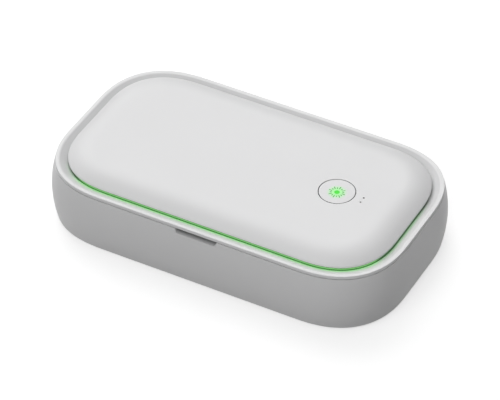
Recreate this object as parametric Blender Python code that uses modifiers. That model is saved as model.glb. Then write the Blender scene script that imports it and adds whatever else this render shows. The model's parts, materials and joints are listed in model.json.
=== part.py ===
"""Sterilization box: a rounded white case with a hinged lid and a lit push button.

Lengths are in metres. X runs along the case, the front faces -Y and Z is up.
The origin is under the middle of the case, level with the soles of its feet.
"""
import math

import bmesh
import bpy
from mathutils import Matrix, Vector

# Case outline, seen from above: straight sides joined by superellipse corners
overall_length = 0.2280
overall_width = 0.1330
corner_reach = 0.0510
corner_power = 2.46
corner_steps = 8

# Outside of the case, from the feet up
foot_height = 0.0010
base_height = 0.0373
belly_height = 0.0195
parting_gap = 0.00035
rim_height = 0.00175
rim_inset = 0.00265
edge_round = 0.0003
wall_steps = 3
round_steps = 3

# Fits between pieces
clearance = 0.0003
pin_clearance = 0.0001
overrun = 0.0020
bite = 0.0005
weld = 0.000001

# Base shell
wall = 0.0024
lip_drop = 0.0005
bottom_round = 0.0020
cover_inset = 0.0080
cover_thickness = 0.0022
cover_seat_inset = 0.0120
cover_seat_thickness = 0.0020
tray_seat_inset = 0.0062
tray_seat_thickness = 0.0013
tray_seat_slope = 0.0024

# Finger notch at the front centre, and the thicker wall behind it
notch_length = 0.0270
notch_height = 0.0030
notch_depth = 0.0043
notch_taper_share = 0.88
notch_backing_inset = 0.0066

# Feet, and the screws that they cover
foot_radius = 0.0060
foot_sink = 0.0007
foot_round = 0.0004
foot_from_end = 0.0340
foot_from_side = 0.0265
screw_head_radius = 0.0024
screw_head_height = 0.0013
screw_head_round = 0.0004
screw_shank_radius = 0.00125
screw_length = 0.0055
screw_point = 0.0006
screw_recess_radius = 0.0010
screw_recess_depth = 0.0008
screw_boss_wall = 0.0017
cover_boss_height = 0.0022

# Chamber floor and wall
chamber_inset = 0.0180
chamber_draft = 0.0012
chamber_round = 0.0015
tray_wall = 0.0018
tray_floor_height = 0.0102
tray_flange_thickness = 0.0020
reflector_thickness = 0.0006

# Light seal between the tray's flange and the lid
seal_inset = 0.0153
seal_width = 0.0012
seal_height = 0.0012
seal_proud = 0.0005

# Ultraviolet lamps, two under the floor and two above the chamber
uv_from_end = 0.0760
window_radius = 0.0060
window_thickness = 0.0010
window_sink = 0.0001
window_ledge = 0.0008
window_ledge_width = 0.0015
led_length = 0.0035
led_package_height = 0.0008
led_cap_radius = 0.0013
led_cap_height = 0.0005
led_window_gap = 0.0004
uv_board_length = 0.0200
uv_board_width = 0.0120
uv_board_thickness = 0.0012
uv_boss_radius = 0.0015
uv_boss_spacing = 0.0160

# Main board and what it carries
board_thickness = 0.0012
board_post_radius = 0.0020
main_board_length = 0.0700
main_board_front = 0.0100
main_board_wall_gap = 0.0030
board_post_margin = 0.0050
chip_length = 0.0070
chip_height = 0.0010
chip_offset = 0.0150
inductor_radius = 0.0035
inductor_height = 0.0013
inductor_round = 0.0005

# Power socket
socket_length = 0.0073
socket_width = 0.0089
socket_height = 0.0032
socket_wall = 0.0003
socket_back = 0.0012
socket_sink = 0.0003
tongue_width = 0.0067
tongue_height = 0.0007
tongue_sink = 0.0007

# Hinge along the rear edge
hinge_inset = 0.0035
hinge_drop = 0.00515
hinge_length = 0.0840
hinge_radius = 0.00235
hinge_slot_drop = 0.0032
hinge_root_inset = 0.0025
hinge_root_width = 0.0023
hinge_steps = 10
knuckle_length = 0.0060
knuckle_radius = 0.0022
pin_radius = 0.0010
pin_depth = 0.0048
swing_steps = 5

# Magnets and the sensor that finds the lid shut
magnet_spacing = 0.0900
magnet_inset = 0.0126
magnet_radius = 0.0020
magnet_height = 0.0018
lid_magnet_height = 0.0012
magnet_boss_wall = 0.0009
sensor_offset = 0.0120
sensor_length = 0.0040
sensor_width = 0.0030
sensor_height = 0.0016

# Lid frame: land, inner slope, skirt and shelf
land_width = 0.0019
slope_width = 0.00515
slope_drop = 0.00205
frame_depth = 0.0042
shelf_thickness = 0.0010
shelf_width = 0.0041

# Lid panel
panel_overlap = 0.0001
panel_edge_drop = 0.00005
panel_rise = 0.00635
panel_thickness = 0.0016
panel_edge_round = 0.0013
shoulder_radius = 0.0235
shoulder_angle = math.radians(39)
shoulder_steps = 8

# Light guide and the lamps behind its front
guide_thickness = 0.0015
guide_setback = 0.0006
guide_gap = 0.00085
glow_board_length = 0.1160
glow_board_thickness = 0.0007
glow_lamp_count = 8
glow_lamp_length = 0.0030
glow_lamp_depth = 0.0008
glow_lamp_height = 0.0014
glow_spread = 0.0150

# Lid liner
liner_flange_gap = 0.0010
liner_flange_height = 0.0019
liner_rim_width = 0.0020
liner_recess = 0.0025
lid_screw_from_end = 0.0440
lid_screw_from_side = 0.0305

# Button, its lens and its switch
button_from_end = 0.0564
button_radius = 0.0107
button_gap = 0.0003
button_edge = 0.0003
button_skin = 0.0008
button_flange_width = 0.0015
button_flange_height = 0.0012
button_travel = 0.0006
button_steps = 36
lens_radius = 0.0062
switch_stem_radius = 0.0015
switch_stem_length = 0.0014
switch_width = 0.0060
switch_height = 0.0024
lid_board_length = 0.0300
lid_board_width = 0.0260
lid_board_overhang = 0.0086

# Two pin holes beside the button
indicator_offset = 0.0162
indicator_spacing = 0.0042
indicator_hole_radius = 0.0004
indicator_pipe_radius = 0.0009

# Places that follow from the sizes above
half_length = overall_length / 2
half_width = overall_width / 2
base_bottom = foot_height
base_top = base_bottom + base_height
widest_level = base_bottom + belly_height
lid_underside = base_top + parting_gap
rim_top = lid_underside + rim_height
cover_top = base_bottom + cover_thickness
cover_seat_low = cover_top + clearance
cover_seat_high = cover_seat_low + cover_seat_thickness
foot_pocket_top = base_bottom + foot_sink + clearance
screw_seat = foot_pocket_top + screw_head_height + clearance
screw_tip = foot_pocket_top + screw_head_height + screw_length
uv_x = half_length - uv_from_end
foot_x = half_length - foot_from_end
foot_y = half_width - foot_from_side
screw_boss_radius = screw_shank_radius + clearance + screw_boss_wall

hinge_y = half_width - hinge_inset
hinge_z = lid_underside - hinge_drop

frame_bottom = rim_top - frame_depth
shelf_top = frame_bottom + shelf_thickness
liner_flange_top = frame_bottom - clearance
liner_flange_bottom = liner_flange_top - liner_flange_height
liner_plate_bottom = liner_flange_bottom + liner_recess
window_plate_thickness = window_ledge + clearance + window_thickness + window_sink
liner_top = liner_plate_bottom + window_plate_thickness
liner_flange_inset = hinge_inset + hinge_drop + liner_flange_gap
liner_recess_inset = chamber_inset + liner_rim_width

seal_top = liner_flange_bottom - clearance
seal_bottom = seal_top - seal_height
groove_bottom = seal_bottom - clearance
tray_flange_top = seal_top - seal_proud
tray_flange_bottom = tray_flange_top - tray_flange_thickness
tray_seat_top = tray_flange_bottom - clearance
tray_floor_top = base_bottom + tray_floor_height
tray_underside = tray_floor_top - window_plate_thickness
chamber_floor_inset = chamber_inset + chamber_draft
floor_reflector_bottom = tray_floor_top + clearance
main_board_bottom = cover_seat_high + clearance
main_board_top = main_board_bottom + board_thickness
part_level = main_board_top + clearance

slope_outer_inset = rim_inset + land_width
slope_inner_inset = slope_outer_inset + slope_width
slope_foot = rim_top - slope_drop
shelf_inset = slope_inner_inset + shelf_width
panel_inset = slope_inner_inset - panel_overlap
panel_edge = rim_top - panel_edge_drop
panel_top = panel_edge + panel_rise
panel_underside = panel_top - panel_thickness
guide_inset = panel_inset + guide_setback
guide_inner_inset = guide_inset + guide_thickness
guide_bottom = shelf_top + clearance
guide_top = panel_edge - guide_gap

button_x = half_length - button_from_end
button_flange_top = panel_underside - clearance
button_flange_bottom = button_flange_top - button_flange_height
stem_top = button_flange_bottom - clearance
stem_bottom = stem_top - switch_stem_length
lid_board_bottom = liner_top + clearance
lid_board_top = lid_board_bottom + board_thickness
indicator_x = button_x + indicator_offset
magnet_y = half_width - magnet_inset

# Sides of the round pieces and steps of the short curves
window_sides = 28
foot_sides = 24
rod_sides = 16
small_sides = 12
socket_steps = 6
inner_wall_steps = 2
skirt_steps = 2
inner_shoulder_steps = 4

parts = bpy.data.collections.new("sterilization_box")
cutters = bpy.data.collections.new("cutters")


def clear_scene():
    """Empty the scene and add the two collections."""
    for old in list(bpy.data.objects):
        bpy.data.objects.remove(old)
    bpy.context.scene.collection.children.link(parts)
    bpy.context.scene.collection.children.link(cutters)


def material(name, color, roughness, metallic=0.0):
    """A plain Principled material."""
    made = bpy.data.materials.new(name)
    made.use_nodes = True
    shader = made.node_tree.nodes["Principled BSDF"]
    shader.inputs["Base Color"].default_value = (*color, 1.0)
    shader.inputs["Roughness"].default_value = roughness
    shader.inputs["Metallic"].default_value = metallic
    made.diffuse_color = (*color, 1.0)
    return made


case_white = material("case_white", (0.80, 0.80, 0.81), 0.38)
inner_white = material("inner_white", (0.72, 0.73, 0.74), 0.45)
bright_metal = material("bright_metal", (0.82, 0.83, 0.85), 0.18, 1.0)
steel = material("steel", (0.55, 0.56, 0.58), 0.30, 1.0)
quartz = material("quartz", (0.80, 0.86, 0.90), 0.05)
board_green = material("board_green", (0.04, 0.22, 0.10), 0.45)
lamp_white = material("lamp_white", (0.85, 0.82, 0.70), 0.40)
black_plastic = material("black_plastic", (0.03, 0.03, 0.03), 0.45)
grey_rubber = material("grey_rubber", (0.20, 0.20, 0.21), 0.75)
glow_green = material("glow_green", (0.25, 0.85, 0.30), 0.30)


def add(name, mesh, finish=None):
    """Link a mesh as a named piece, or as a cutter where no finish is given."""
    piece = bpy.data.objects.new(name, mesh)
    if finish is None:
        cutters.objects.link(piece)
        piece.hide_render = True
        piece.display_type = "WIRE"
    else:
        parts.objects.link(piece)
        mesh.materials.append(finish)
    return piece


def boolean(piece, other, operation):
    """Cut a piece with a tool, or join the tool to it."""
    step = piece.modifiers.new(other.name, "BOOLEAN")
    step.object = other
    step.operation = operation
    step.solver = "EXACT"


def cut(piece, other):
    boolean(piece, other, "DIFFERENCE")


def join(piece, other):
    boolean(piece, other, "UNION")


def evenly(start, end, steps):
    """Values from start to end in equal steps, both ends included."""
    return [start + (end - start) * i / steps for i in range(steps + 1)]


def outline(inset):
    """The case outline drawn in by inset, anticlockwise from the right end."""
    reach = corner_reach - inset
    corner_x = half_length - corner_reach
    corner_y = half_width - corner_reach
    points = []
    for sign_x, sign_y in ((1, 1), (-1, 1), (-1, -1), (1, -1)):
        corner = []
        for angle in evenly(0, math.pi / 2, corner_steps):
            along = abs(math.cos(angle)) ** (2 / corner_power)
            across = abs(math.sin(angle)) ** (2 / corner_power)
            x = sign_x * (corner_x + reach * along)
            y = sign_y * (corner_y + reach * across)
            corner.append((x, y))
        points += corner if sign_x * sign_y > 0 else corner[::-1]
    return points


def side_inset(height):
    """How far the case's side lies inside its widest level at a height."""
    share = (height - widest_level) / (rim_top - widest_level)
    return rim_inset * share ** 2


def side(low, high, depth, steps):
    """Section points up the side from low to high, depth inside its face."""
    return [(side_inset(z) + depth, z) for z in evenly(low, high, steps)]


def arc(centre, radius, start, end, steps):
    """Section points on a circle: angle 0 points outwards and a right angle points up."""
    inset, height = centre
    return [
        (inset - radius * math.cos(angle), height + radius * math.sin(angle))
        for angle in evenly(start, end, steps)
    ]


def loft(name, sections, finish=None, ring=True):
    """Skin the outlines at a row of (inset, height) sections.

    A ring's last section joins its first. Otherwise both end outlines are filled.
    """
    bm = bmesh.new()
    rows = [[bm.verts.new((x, y, z)) for x, y in outline(inset)] for inset, z in sections]
    pairs = list(zip(rows, rows[1:]))
    if ring:
        pairs.append((rows[-1], rows[0]))
    else:
        bm.faces.new(rows[0])
        bm.faces.new(rows[-1])
    for lower, upper in pairs:
        for i in range(len(lower)):
            bm.faces.new((lower[i - 1], lower[i], upper[i], upper[i - 1]))
    bmesh.ops.recalc_face_normals(bm, faces=bm.faces)
    return finished(name, bm, finish)


def finished(name, bm, finish, sharp=math.radians(35)):
    """Turn a bmesh into a smooth shaded piece whose real edges stay sharp."""
    mesh = bpy.data.meshes.new(name)
    bm.to_mesh(mesh)
    bm.free()
    mesh.shade_smooth()
    mesh.set_sharp_from_angle(angle=sharp)
    return add(name, mesh, finish)


def slab(name, outlines, low, high, finish=None, turn=None):
    """A flat piece from low to high whose outline may hold further outlines as holes."""
    curve = bpy.data.curves.new(name, "CURVE")
    curve.dimensions = "2D"
    curve.fill_mode = "BOTH"
    curve.extrude = (high - low) / 2
    for points in outlines:
        spline = curve.splines.new("POLY")
        spline.points.add(len(points) - 1)
        for spot, (x, y) in zip(spline.points, points):
            spot.co = (x, y, 0, 1)
        spline.use_cyclic_u = True
    drawn = bpy.data.objects.new(name, curve)
    bpy.context.scene.collection.objects.link(drawn)
    seen = drawn.evaluated_get(bpy.context.evaluated_depsgraph_get())
    flat = bpy.data.meshes.new_from_object(seen)
    bm = bmesh.new()
    bm.from_mesh(flat)
    bpy.data.objects.remove(drawn)
    bpy.data.meshes.remove(flat)
    bmesh.ops.remove_doubles(bm, verts=bm.verts, dist=weld)
    bmesh.ops.recalc_face_normals(bm, faces=bm.faces)
    bmesh.ops.translate(bm, verts=bm.verts, vec=(0, 0, (low + high) / 2))
    if turn is not None:
        bmesh.ops.transform(bm, matrix=turn, verts=bm.verts)
    return finished(name, bm, finish)


def circle(x, y, radius, steps):
    """Points of a circle in the XY plane."""
    angles = [2 * math.pi * i / steps for i in range(steps)]
    return [(x + radius * math.cos(a), y + radius * math.sin(a)) for a in angles]


def pill(length, width, steps):
    """Points of a slot outline with round ends, its middle at zero."""
    radius = width / 2
    reach = length / 2 - radius
    right = [-math.pi / 2 + math.pi * i / steps for i in range(steps + 1)]
    ends = [(reach, angle) for angle in right]
    ends += [(-reach, angle + math.pi) for angle in right]
    return [(x + radius * math.cos(a), radius * math.sin(a)) for x, a in ends]


def block(name, low, high, finish=None, bevel=None):
    """A box between two corners, with its edges bevelled where a width is given."""
    low = Vector(low)
    high = Vector(high)
    bm = bmesh.new()
    bmesh.ops.create_cube(bm, size=1)
    bmesh.ops.scale(bm, vec=high - low, verts=bm.verts)
    bmesh.ops.translate(bm, vec=(low + high) / 2, verts=bm.verts)
    piece = finished(name, bm, finish)
    if bevel is not None:
        edge = piece.modifiers.new("rounded_edges", "BEVEL")
        edge.width = bevel
    return piece


def rod(name, radius, low, high, finish=None, place=(0, 0), sides=rod_sides):
    """An upright cylinder from low to high."""
    bm = bmesh.new()
    bmesh.ops.create_cone(
        bm, cap_ends=True, segments=sides, radius1=radius, radius2=radius, depth=high - low
    )
    bmesh.ops.translate(bm, vec=(*place, (low + high) / 2), verts=bm.verts)
    return finished(name, bm, finish)


def axle(name, radius, start, end, finish=None, sides=rod_sides):
    """A cylinder along the hinge axis, from start to end along X."""
    bm = bmesh.new()
    bmesh.ops.create_cone(
        bm, cap_ends=True, segments=sides, radius1=radius, radius2=radius, depth=end - start
    )
    bmesh.ops.rotate(bm, matrix=Matrix.Rotation(math.pi / 2, 3, "Y"), verts=bm.verts)
    bmesh.ops.translate(bm, vec=((start + end) / 2, hinge_y, hinge_z), verts=bm.verts)
    return finished(name, bm, finish)


def turned(name, profile, finish, steps):
    """A piece turned about Z from (radius, height) points, top to bottom."""
    bm = bmesh.new()
    spots = [bm.verts.new((radius, 0, height)) for radius, height in profile]
    for upper, lower in zip(spots, spots[1:]):
        bm.edges.new((upper, lower))
    mesh = bpy.data.meshes.new(name)
    bm.to_mesh(mesh)
    bm.free()
    piece = add(name, mesh, finish)
    turn = piece.modifiers.new("turned", "SCREW")
    turn.steps = steps
    turn.render_steps = steps
    turn.use_merge_vertices = True
    turn.merge_threshold = weld
    turn.use_smooth_shade = True
    return piece


def corners(x, y):
    """The four mirrored places of a point, each with its name."""
    return {
        "front_left": (-x, -y),
        "front_right": (x, -y),
        "rear_left": (-x, y),
        "rear_right": (x, y),
    }


def ends(x):
    """The two mirrored places along X, each with its name."""
    return {"left": -x, "right": x}


def base_shell():
    """The outer wall: a ring with seats for the cover and the tray."""
    round_inset = side_inset(base_bottom + bottom_round) + bottom_round
    lower_edge = arc(
        (round_inset, base_bottom + bottom_round), bottom_round, -math.pi / 2, 0, round_steps
    )
    face = side(base_bottom + bottom_round, widest_level, 0, wall_steps)
    face += side(widest_level, base_top - edge_round, 0, wall_steps)[1:]
    top_inset = side_inset(base_top)
    land = base_top - lip_drop
    top = [
        (top_inset + edge_round, base_top),
        (top_inset + edge_round + lip_drop, land),
        (top_inset + wall - edge_round, land),
    ]
    inner = side(land - edge_round, tray_seat_top, wall, inner_wall_steps)
    seat_low = tray_seat_top - tray_seat_thickness
    seat = [(tray_seat_inset, tray_seat_top), (tray_seat_inset, seat_low)]
    lower = side(seat_low - tray_seat_slope, cover_seat_high, wall, round_steps)
    cover_seat = [
        (cover_seat_inset, cover_seat_high),
        (cover_seat_inset, cover_seat_low),
        (cover_inset, cover_seat_low),
        (cover_inset, base_bottom),
    ]
    sections = lower_edge + face[1:] + top + inner + seat + lower + cover_seat
    shell = loft("base_shell", sections, case_white)
    for side_name, sign in ends(1).items():
        start = sign * (hinge_length / 2 + clearance)
        end = start + sign * knuckle_length
        low, high = sorted((start, end))
        join(shell, axle("knuckle_" + side_name, knuckle_radius, low, high))
    cut(shell, hinge_slot())
    for side_name, sign in ends(1).items():
        start = sign * (hinge_length / 2 - overrun)
        end = sign * (hinge_length / 2 + clearance + pin_depth + clearance)
        low, high = sorted((start, end))
        cut(shell, axle("pin_hole_" + side_name, pin_radius + pin_clearance, low, high))
    join(shell, notch_backing())
    cut(shell, finger_notch())
    cut(shell, socket_cutout())
    return shell


def hinge_slot():
    """The gap in the rear wall that the lid's hinge beam fills."""
    reach = hinge_length / 2 + clearance
    inside = hinge_y - hinge_radius - bite
    low = (-reach, inside, hinge_z - hinge_slot_drop)
    high = (reach, half_width + overrun, base_top + overrun)
    return block("hinge_slot", low, high)


def notch_backing():
    """Thickens the wall behind the notch, above the tray's flange and below the lid's swing."""
    reach = notch_length / 2 + wall
    run = notch_backing_inset - hinge_inset
    top = hinge_z + math.sqrt((hinge_drop - clearance) ** 2 - run ** 2)
    outside = half_width - side_inset(base_top) - wall / 2
    low = (-reach, -outside, tray_flange_top + clearance)
    high = (reach, notch_backing_inset - half_width, top)
    return block("notch_backing", low, high)


def finger_notch():
    """The hollow in the front wall's top: its floor is level and its ends lean out."""
    foot = base_top - notch_height
    front = side_inset(foot) - half_width
    share = (notch_height + overrun) / notch_height
    foot_reach = notch_length * notch_taper_share / 2
    top_reach = foot_reach + (notch_length / 2 - foot_reach) * share
    low = (-top_reach, front - overrun, foot)
    high = (top_reach, front + notch_depth, base_top + overrun)
    hollow = block("finger_notch", low, high)
    for vert in hollow.data.vertices:
        if vert.co.z < base_top:
            vert.co.x *= foot_reach / top_reach
    return hollow


def socket_level():
    return part_level + socket_height / 2


def socket_mouth():
    """Where the power socket's mouth lies, just inside the rear wall's face."""
    return half_width - side_inset(socket_level()) - socket_sink


def along_y(level):
    """Turns a flat outline so that it is extruded along Y, at a level."""
    return Matrix.Translation((0, 0, level)) @ Matrix.Rotation(math.pi / 2, 4, "X")


def socket_cutout():
    """The slot in the rear wall round the power socket."""
    width = socket_width + 2 * clearance
    height = socket_height + 2 * clearance
    outside = half_width + overrun
    inside = half_width - cover_seat_inset - overrun
    shape = [pill(width, height, socket_steps)]
    return slab("socket_cutout", shape, -outside, -inside, None, along_y(socket_level()))


def bottom_cover():
    """The plate under the base, with pockets for the feet and bosses for the screws."""
    shape = [outline(cover_inset + clearance)]
    cover = slab("bottom_cover", shape, base_bottom, cover_top, inner_white)
    for name, place in corners(foot_x, foot_y).items():
        boss_low = cover_top - bite
        boss_top = cover_top + cover_boss_height
        join(cover, rod("cover_boss_" + name, screw_boss_radius, boss_low, boss_top, None, place))
        low = base_bottom - overrun
        pocket = foot_radius + clearance
        foot_pocket = rod("foot_pocket_" + name, pocket, low, foot_pocket_top, None, place, foot_sides)
        cut(cover, foot_pocket)
        head = screw_head_radius + clearance
        cut(cover, rod("head_pocket_" + name, head, low, screw_seat, None, place))
        shank = screw_shank_radius + clearance
        cut(cover, rod("shank_hole_" + name, shank, low, boss_top + overrun, None, place))
    x = main_board_length / 2 - board_post_margin
    front = main_board_front + board_post_margin
    rear = half_width - cover_seat_inset - clearance - board_post_radius
    low = cover_top - bite
    high = main_board_bottom - clearance
    for label, y in (("front", front), ("rear", rear)):
        for side_name, post_x in ends(x).items():
            name = "board_post_" + label + "_" + side_name
            join(cover, rod(name, board_post_radius, low, high, None, (post_x, y)))
    return cover


def feet():
    """Four rubber feet in the cover's pockets."""
    top = foot_height + foot_sink
    profile = [
        (0, top),
        (foot_radius, top),
        (foot_radius, foot_round),
        (foot_radius - foot_round, 0),
        (0, 0),
    ]
    for name, place in corners(foot_x, foot_y).items():
        foot = turned("foot_" + name, profile, grey_rubber, foot_sides)
        foot.location = (*place, 0)


def screw(name, place, head_low):
    """A round headed screw with its head down and its point up."""
    head_high = screw_head_height
    tip = head_high + screw_length
    profile = [
        (0, tip),
        (screw_shank_radius - screw_point, tip),
        (screw_shank_radius, tip - screw_point),
        (screw_shank_radius, head_high),
        (screw_head_radius, head_high),
        (screw_head_radius, screw_head_round),
        (screw_head_radius - screw_head_round, 0),
        (screw_recess_radius, 0),
        (screw_recess_radius, screw_recess_depth),
        (0, screw_recess_depth),
    ]
    piece = turned(name, profile, steel, small_sides)
    piece.location = (*place, head_low)
    return piece


def floor_plate():
    """The chamber's floor, with posts for the base screws and seats for two lamps."""
    edge = chamber_floor_inset - tray_wall
    sections = [
        (edge + chamber_round, tray_underside),
        (edge, tray_underside + chamber_round),
        (edge, tray_floor_top),
    ]
    plate = loft("floor_plate", sections, inner_white, ring=False)
    for name, place in corners(foot_x, foot_y).items():
        low = cover_top + cover_boss_height + clearance
        high = tray_underside + bite
        join(plate, rod("plate_post_" + name, screw_boss_radius, low, high, None, place))
        shank = screw_shank_radius + clearance
        high = screw_tip + clearance
        cut(plate, rod("plate_hole_" + name, shank, low - overrun, high, None, place))
    cut_lamp_seats(plate, "plate", tray_underside, 1)
    return plate


def chamber_wall():
    """The chamber's wall, with a flange that reaches the case wall and a groove for the seal."""
    foot = tray_floor_top + clearance
    flange_inset = side_inset(base_top) + wall + clearance
    sections = [
        (chamber_floor_inset - tray_wall, foot),
        (chamber_inset - tray_wall, tray_flange_bottom),
        (flange_inset, tray_flange_bottom),
        (flange_inset, tray_flange_top),
        (seal_inset - clearance, tray_flange_top),
        (seal_inset - clearance, groove_bottom),
        (seal_inset + seal_width + clearance, groove_bottom),
        (seal_inset + seal_width + clearance, tray_flange_top),
        (chamber_inset - edge_round, tray_flange_top),
        (chamber_inset, tray_flange_top - edge_round),
        (chamber_floor_inset, foot),
    ]
    ring = loft("chamber_wall", sections, inner_white)
    for side_name, x in ends(magnet_spacing / 2).items():
        place = (x, -magnet_y)
        ceiling = tray_flange_bottom
        low = ceiling - clearance - magnet_height - clearance
        high = ceiling + bite
        pocket = magnet_radius + clearance
        boss = pocket + magnet_boss_wall
        join(ring, rod("magnet_boss_" + side_name, boss, low, high, None, place))
        cut(ring, rod("magnet_pocket_" + side_name, pocket, low - overrun, ceiling, None, place))
    reach = hinge_length / 2 + clearance + knuckle_length + clearance
    inside = hinge_y - hinge_radius - bite
    low = (-reach, inside, tray_flange_bottom - overrun)
    high = (reach, half_width + overrun, tray_flange_top + overrun)
    cut(ring, block("tray_hinge_gap", low, high))
    return ring


def cut_lamp_seats(plate, prefix, back, toward):
    """Open a plate for its two lamps and give it bosses for their boards.

    back is the level of the plate's back face, and toward is 1 where the chamber lies above it.
    """
    ledge = back + toward * window_ledge
    face = back + toward * (window_plate_thickness + overrun)
    behind = back - toward * overrun
    boss_end = back - toward * boss_height()
    for side_name, x in ends(uv_x).items():
        for boss_name, boss_x in ends(uv_boss_spacing / 2).items():
            inside = back + toward * bite
            name = prefix + "_lamp_boss_" + side_name + "_" + boss_name
            low, high = sorted((boss_end, inside))
            join(plate, rod(name, uv_boss_radius, low, high, None, (x + boss_x, 0), small_sides))
        seat = window_radius + clearance
        name = prefix + "_window_seat_" + side_name
        low, high = sorted((ledge, face))
        cut(plate, rod(name, seat, low, high, None, (x, 0), window_sides))
        opening = seat - window_ledge_width
        name = prefix + "_lamp_opening_" + side_name
        low, high = sorted((behind, face))
        cut(plate, rod(name, opening, low, high, None, (x, 0), window_sides))


def led_height():
    return led_package_height + led_cap_height


def boss_height():
    """How far the bosses stand out, so that they end a clearance above the lamp board."""
    return led_height() + led_window_gap - window_ledge - clearance


def lamps(prefix, back, toward):
    """The windows, ultraviolet lamps and lamp boards of a plate."""
    window_back = back + toward * (window_ledge + clearance)
    led_front = window_back - toward * led_window_gap
    led_shoulder = led_front - toward * led_cap_height
    led_back = led_shoulder - toward * led_package_height
    board_front = led_back - toward * clearance
    board_back = board_front - toward * uv_board_thickness
    for side_name, x in ends(uv_x).items():
        low, high = sorted((window_back, window_back + toward * window_thickness))
        rod(prefix + "_window_" + side_name, window_radius, low, high, quartz, (x, 0), window_sides)
        low, high = sorted((led_back, led_shoulder))
        half = led_length / 2
        near = (x - half, -half, low)
        far = (x + half, half, high)
        led = block(prefix + "_uv_led_" + side_name, near, far, lamp_white)
        low, high = sorted((led_shoulder - toward * bite, led_front))
        join(led, rod(prefix + "_led_cap_" + side_name, led_cap_radius, low, high, None, (x, 0)))
        low, high = sorted((board_back, board_front))
        near = (x - uv_board_length / 2, -uv_board_width / 2, low)
        far = (x + uv_board_length / 2, uv_board_width / 2, high)
        block(prefix + "_uv_board_" + side_name, near, far, board_green, edge_round)


def reflector(name, low, inset, opening):
    """A thin bright plate with two round openings for the lamps."""
    holes = [circle(x, 0, opening, window_sides) for x in ends(uv_x).values()]
    return slab(name, [outline(inset), *holes], low, low + reflector_thickness, bright_metal)


def main_board_rear():
    return half_width - wall - main_board_wall_gap


def main_board():
    """The board in the base, with its chip, inductor and power socket."""
    half = main_board_length / 2
    near = (-half, main_board_front, main_board_bottom)
    far = (half, main_board_rear(), main_board_top)
    block("main_board", near, far, board_green)
    middle = (main_board_front + main_board_rear()) / 2
    half = chip_length / 2
    near = (chip_offset - half, middle - half, part_level)
    far = (chip_offset + half, middle + half, part_level + chip_height)
    block("controller_chip", near, far, black_plastic, edge_round)
    top = part_level + inductor_height
    profile = [
        (0, top),
        (inductor_radius - inductor_round, top),
        (inductor_radius, top - inductor_round),
        (inductor_radius, part_level),
        (0, part_level),
    ]
    coil = turned("power_inductor", profile, black_plastic, foot_sides)
    coil.location = (-chip_offset, middle, 0)


def usb_socket():
    """The power socket: a flattened metal sleeve with a tongue inside."""
    mouth = socket_mouth()
    level = socket_level()
    turn = along_y(level)
    shape = [pill(socket_width, socket_height, socket_steps)]
    socket = slab("usb_socket", shape, -mouth, socket_length - mouth, steel, turn)
    inner_width = socket_width - 2 * socket_wall
    inner_height = socket_height - 2 * socket_wall
    hollow = [pill(inner_width, inner_height, socket_steps)]
    back = socket_length - socket_back - mouth
    cut(socket, slab("socket_hollow", hollow, -mouth - overrun, back, None, turn))
    half = tongue_width / 2
    near = (-half, mouth - socket_length + socket_back - bite, level - tongue_height / 2)
    far = (half, mouth - tongue_sink, level + tongue_height / 2)
    join(socket, block("socket_tongue", near, far))
    return socket


def light_seal():
    """The soft ring in the tray's groove."""
    inner = seal_inset + seal_width
    sections = [
        (seal_inset, seal_bottom),
        (seal_inset, seal_top),
        (inner, seal_top),
        (inner, seal_bottom),
    ]
    return loft("light_seal", sections, grey_rubber)


def hinge_pins():
    """A pin at each end of the hinge beam, held in the base's knuckles."""
    for side_name, sign in ends(1).items():
        start = sign * (hinge_length / 2 - pin_depth)
        end = sign * (hinge_length / 2 + clearance + pin_depth)
        low, high = sorted((start, end))
        axle("hinge_pin_" + side_name, pin_radius, low, high, steel)


def magnets_and_sensor():
    """The base's magnets under the tray's flange, the lid's above them, and the sensor."""
    top = tray_flange_bottom - clearance
    for side_name, x in ends(magnet_spacing / 2).items():
        rod("base_magnet_" + side_name, magnet_radius, top - magnet_height, top, steel, (x, -magnet_y))
    half_x = sensor_length / 2
    half_y = sensor_width / 2
    x = magnet_spacing / 2 + sensor_offset
    near = (x - half_x, -magnet_y - half_y, top - sensor_height)
    far = (x + half_x, half_y - magnet_y, top)
    block("lid_sensor", near, far, black_plastic, edge_round)


def lid_frame():
    """The lid's rim: a land, a slope down to the groove, a skirt and a shelf, with the hinge beam.

    Its underside keeps one distance from the hinge axis, so that it clears the base as it turns.
    """
    top_inset = side_inset(rim_top) + edge_round
    skirt_turn = math.acos((frame_bottom - hinge_z) / hinge_drop)
    swing = [
        (hinge_inset + hinge_drop * math.sin(turn), hinge_z + hinge_drop * math.cos(turn))
        for turn in evenly(skirt_turn, 0, swing_steps)
    ]
    sections = side(lid_underside, rim_top - edge_round, 0, skirt_steps)
    sections += [
        (top_inset, rim_top),
        (slope_outer_inset, rim_top),
        (slope_inner_inset, slope_foot),
        (slope_inner_inset, shelf_top),
        (shelf_inset, shelf_top),
        (shelf_inset, frame_bottom),
    ]
    frame = loft("lid_frame", sections + swing, case_white)
    join(frame, hinge_beam())
    for side_name, sign in ends(1).items():
        start = sign * (hinge_length / 2 - pin_depth - clearance)
        end = sign * (hinge_length / 2 + overrun)
        low, high = sorted((start, end))
        cut(frame, axle("beam_hole_" + side_name, pin_radius + pin_clearance, low, high))
    return frame


def hinge_beam():
    """The round backed bar that joins the lid's rear edge to the hinge axis."""
    barrel = [
        (hinge_radius * math.cos(angle), hinge_radius * math.sin(angle))
        for angle in evenly(-math.pi, 0, hinge_steps)
    ]
    root_high = hinge_drop + rim_height / 2
    root_back = hinge_inset - hinge_root_inset
    root = [(root_back, root_high), (root_back - hinge_root_width, root_high)]
    half = hinge_length / 2
    upright = Matrix.Rotation(math.pi / 2, 4, "Z") @ Matrix.Rotation(math.pi / 2, 4, "X")
    turn = Matrix.Translation((0, hinge_y, hinge_z)) @ upright
    return slab("hinge_beam", [barrel + root], -half, half, None, turn)


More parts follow.
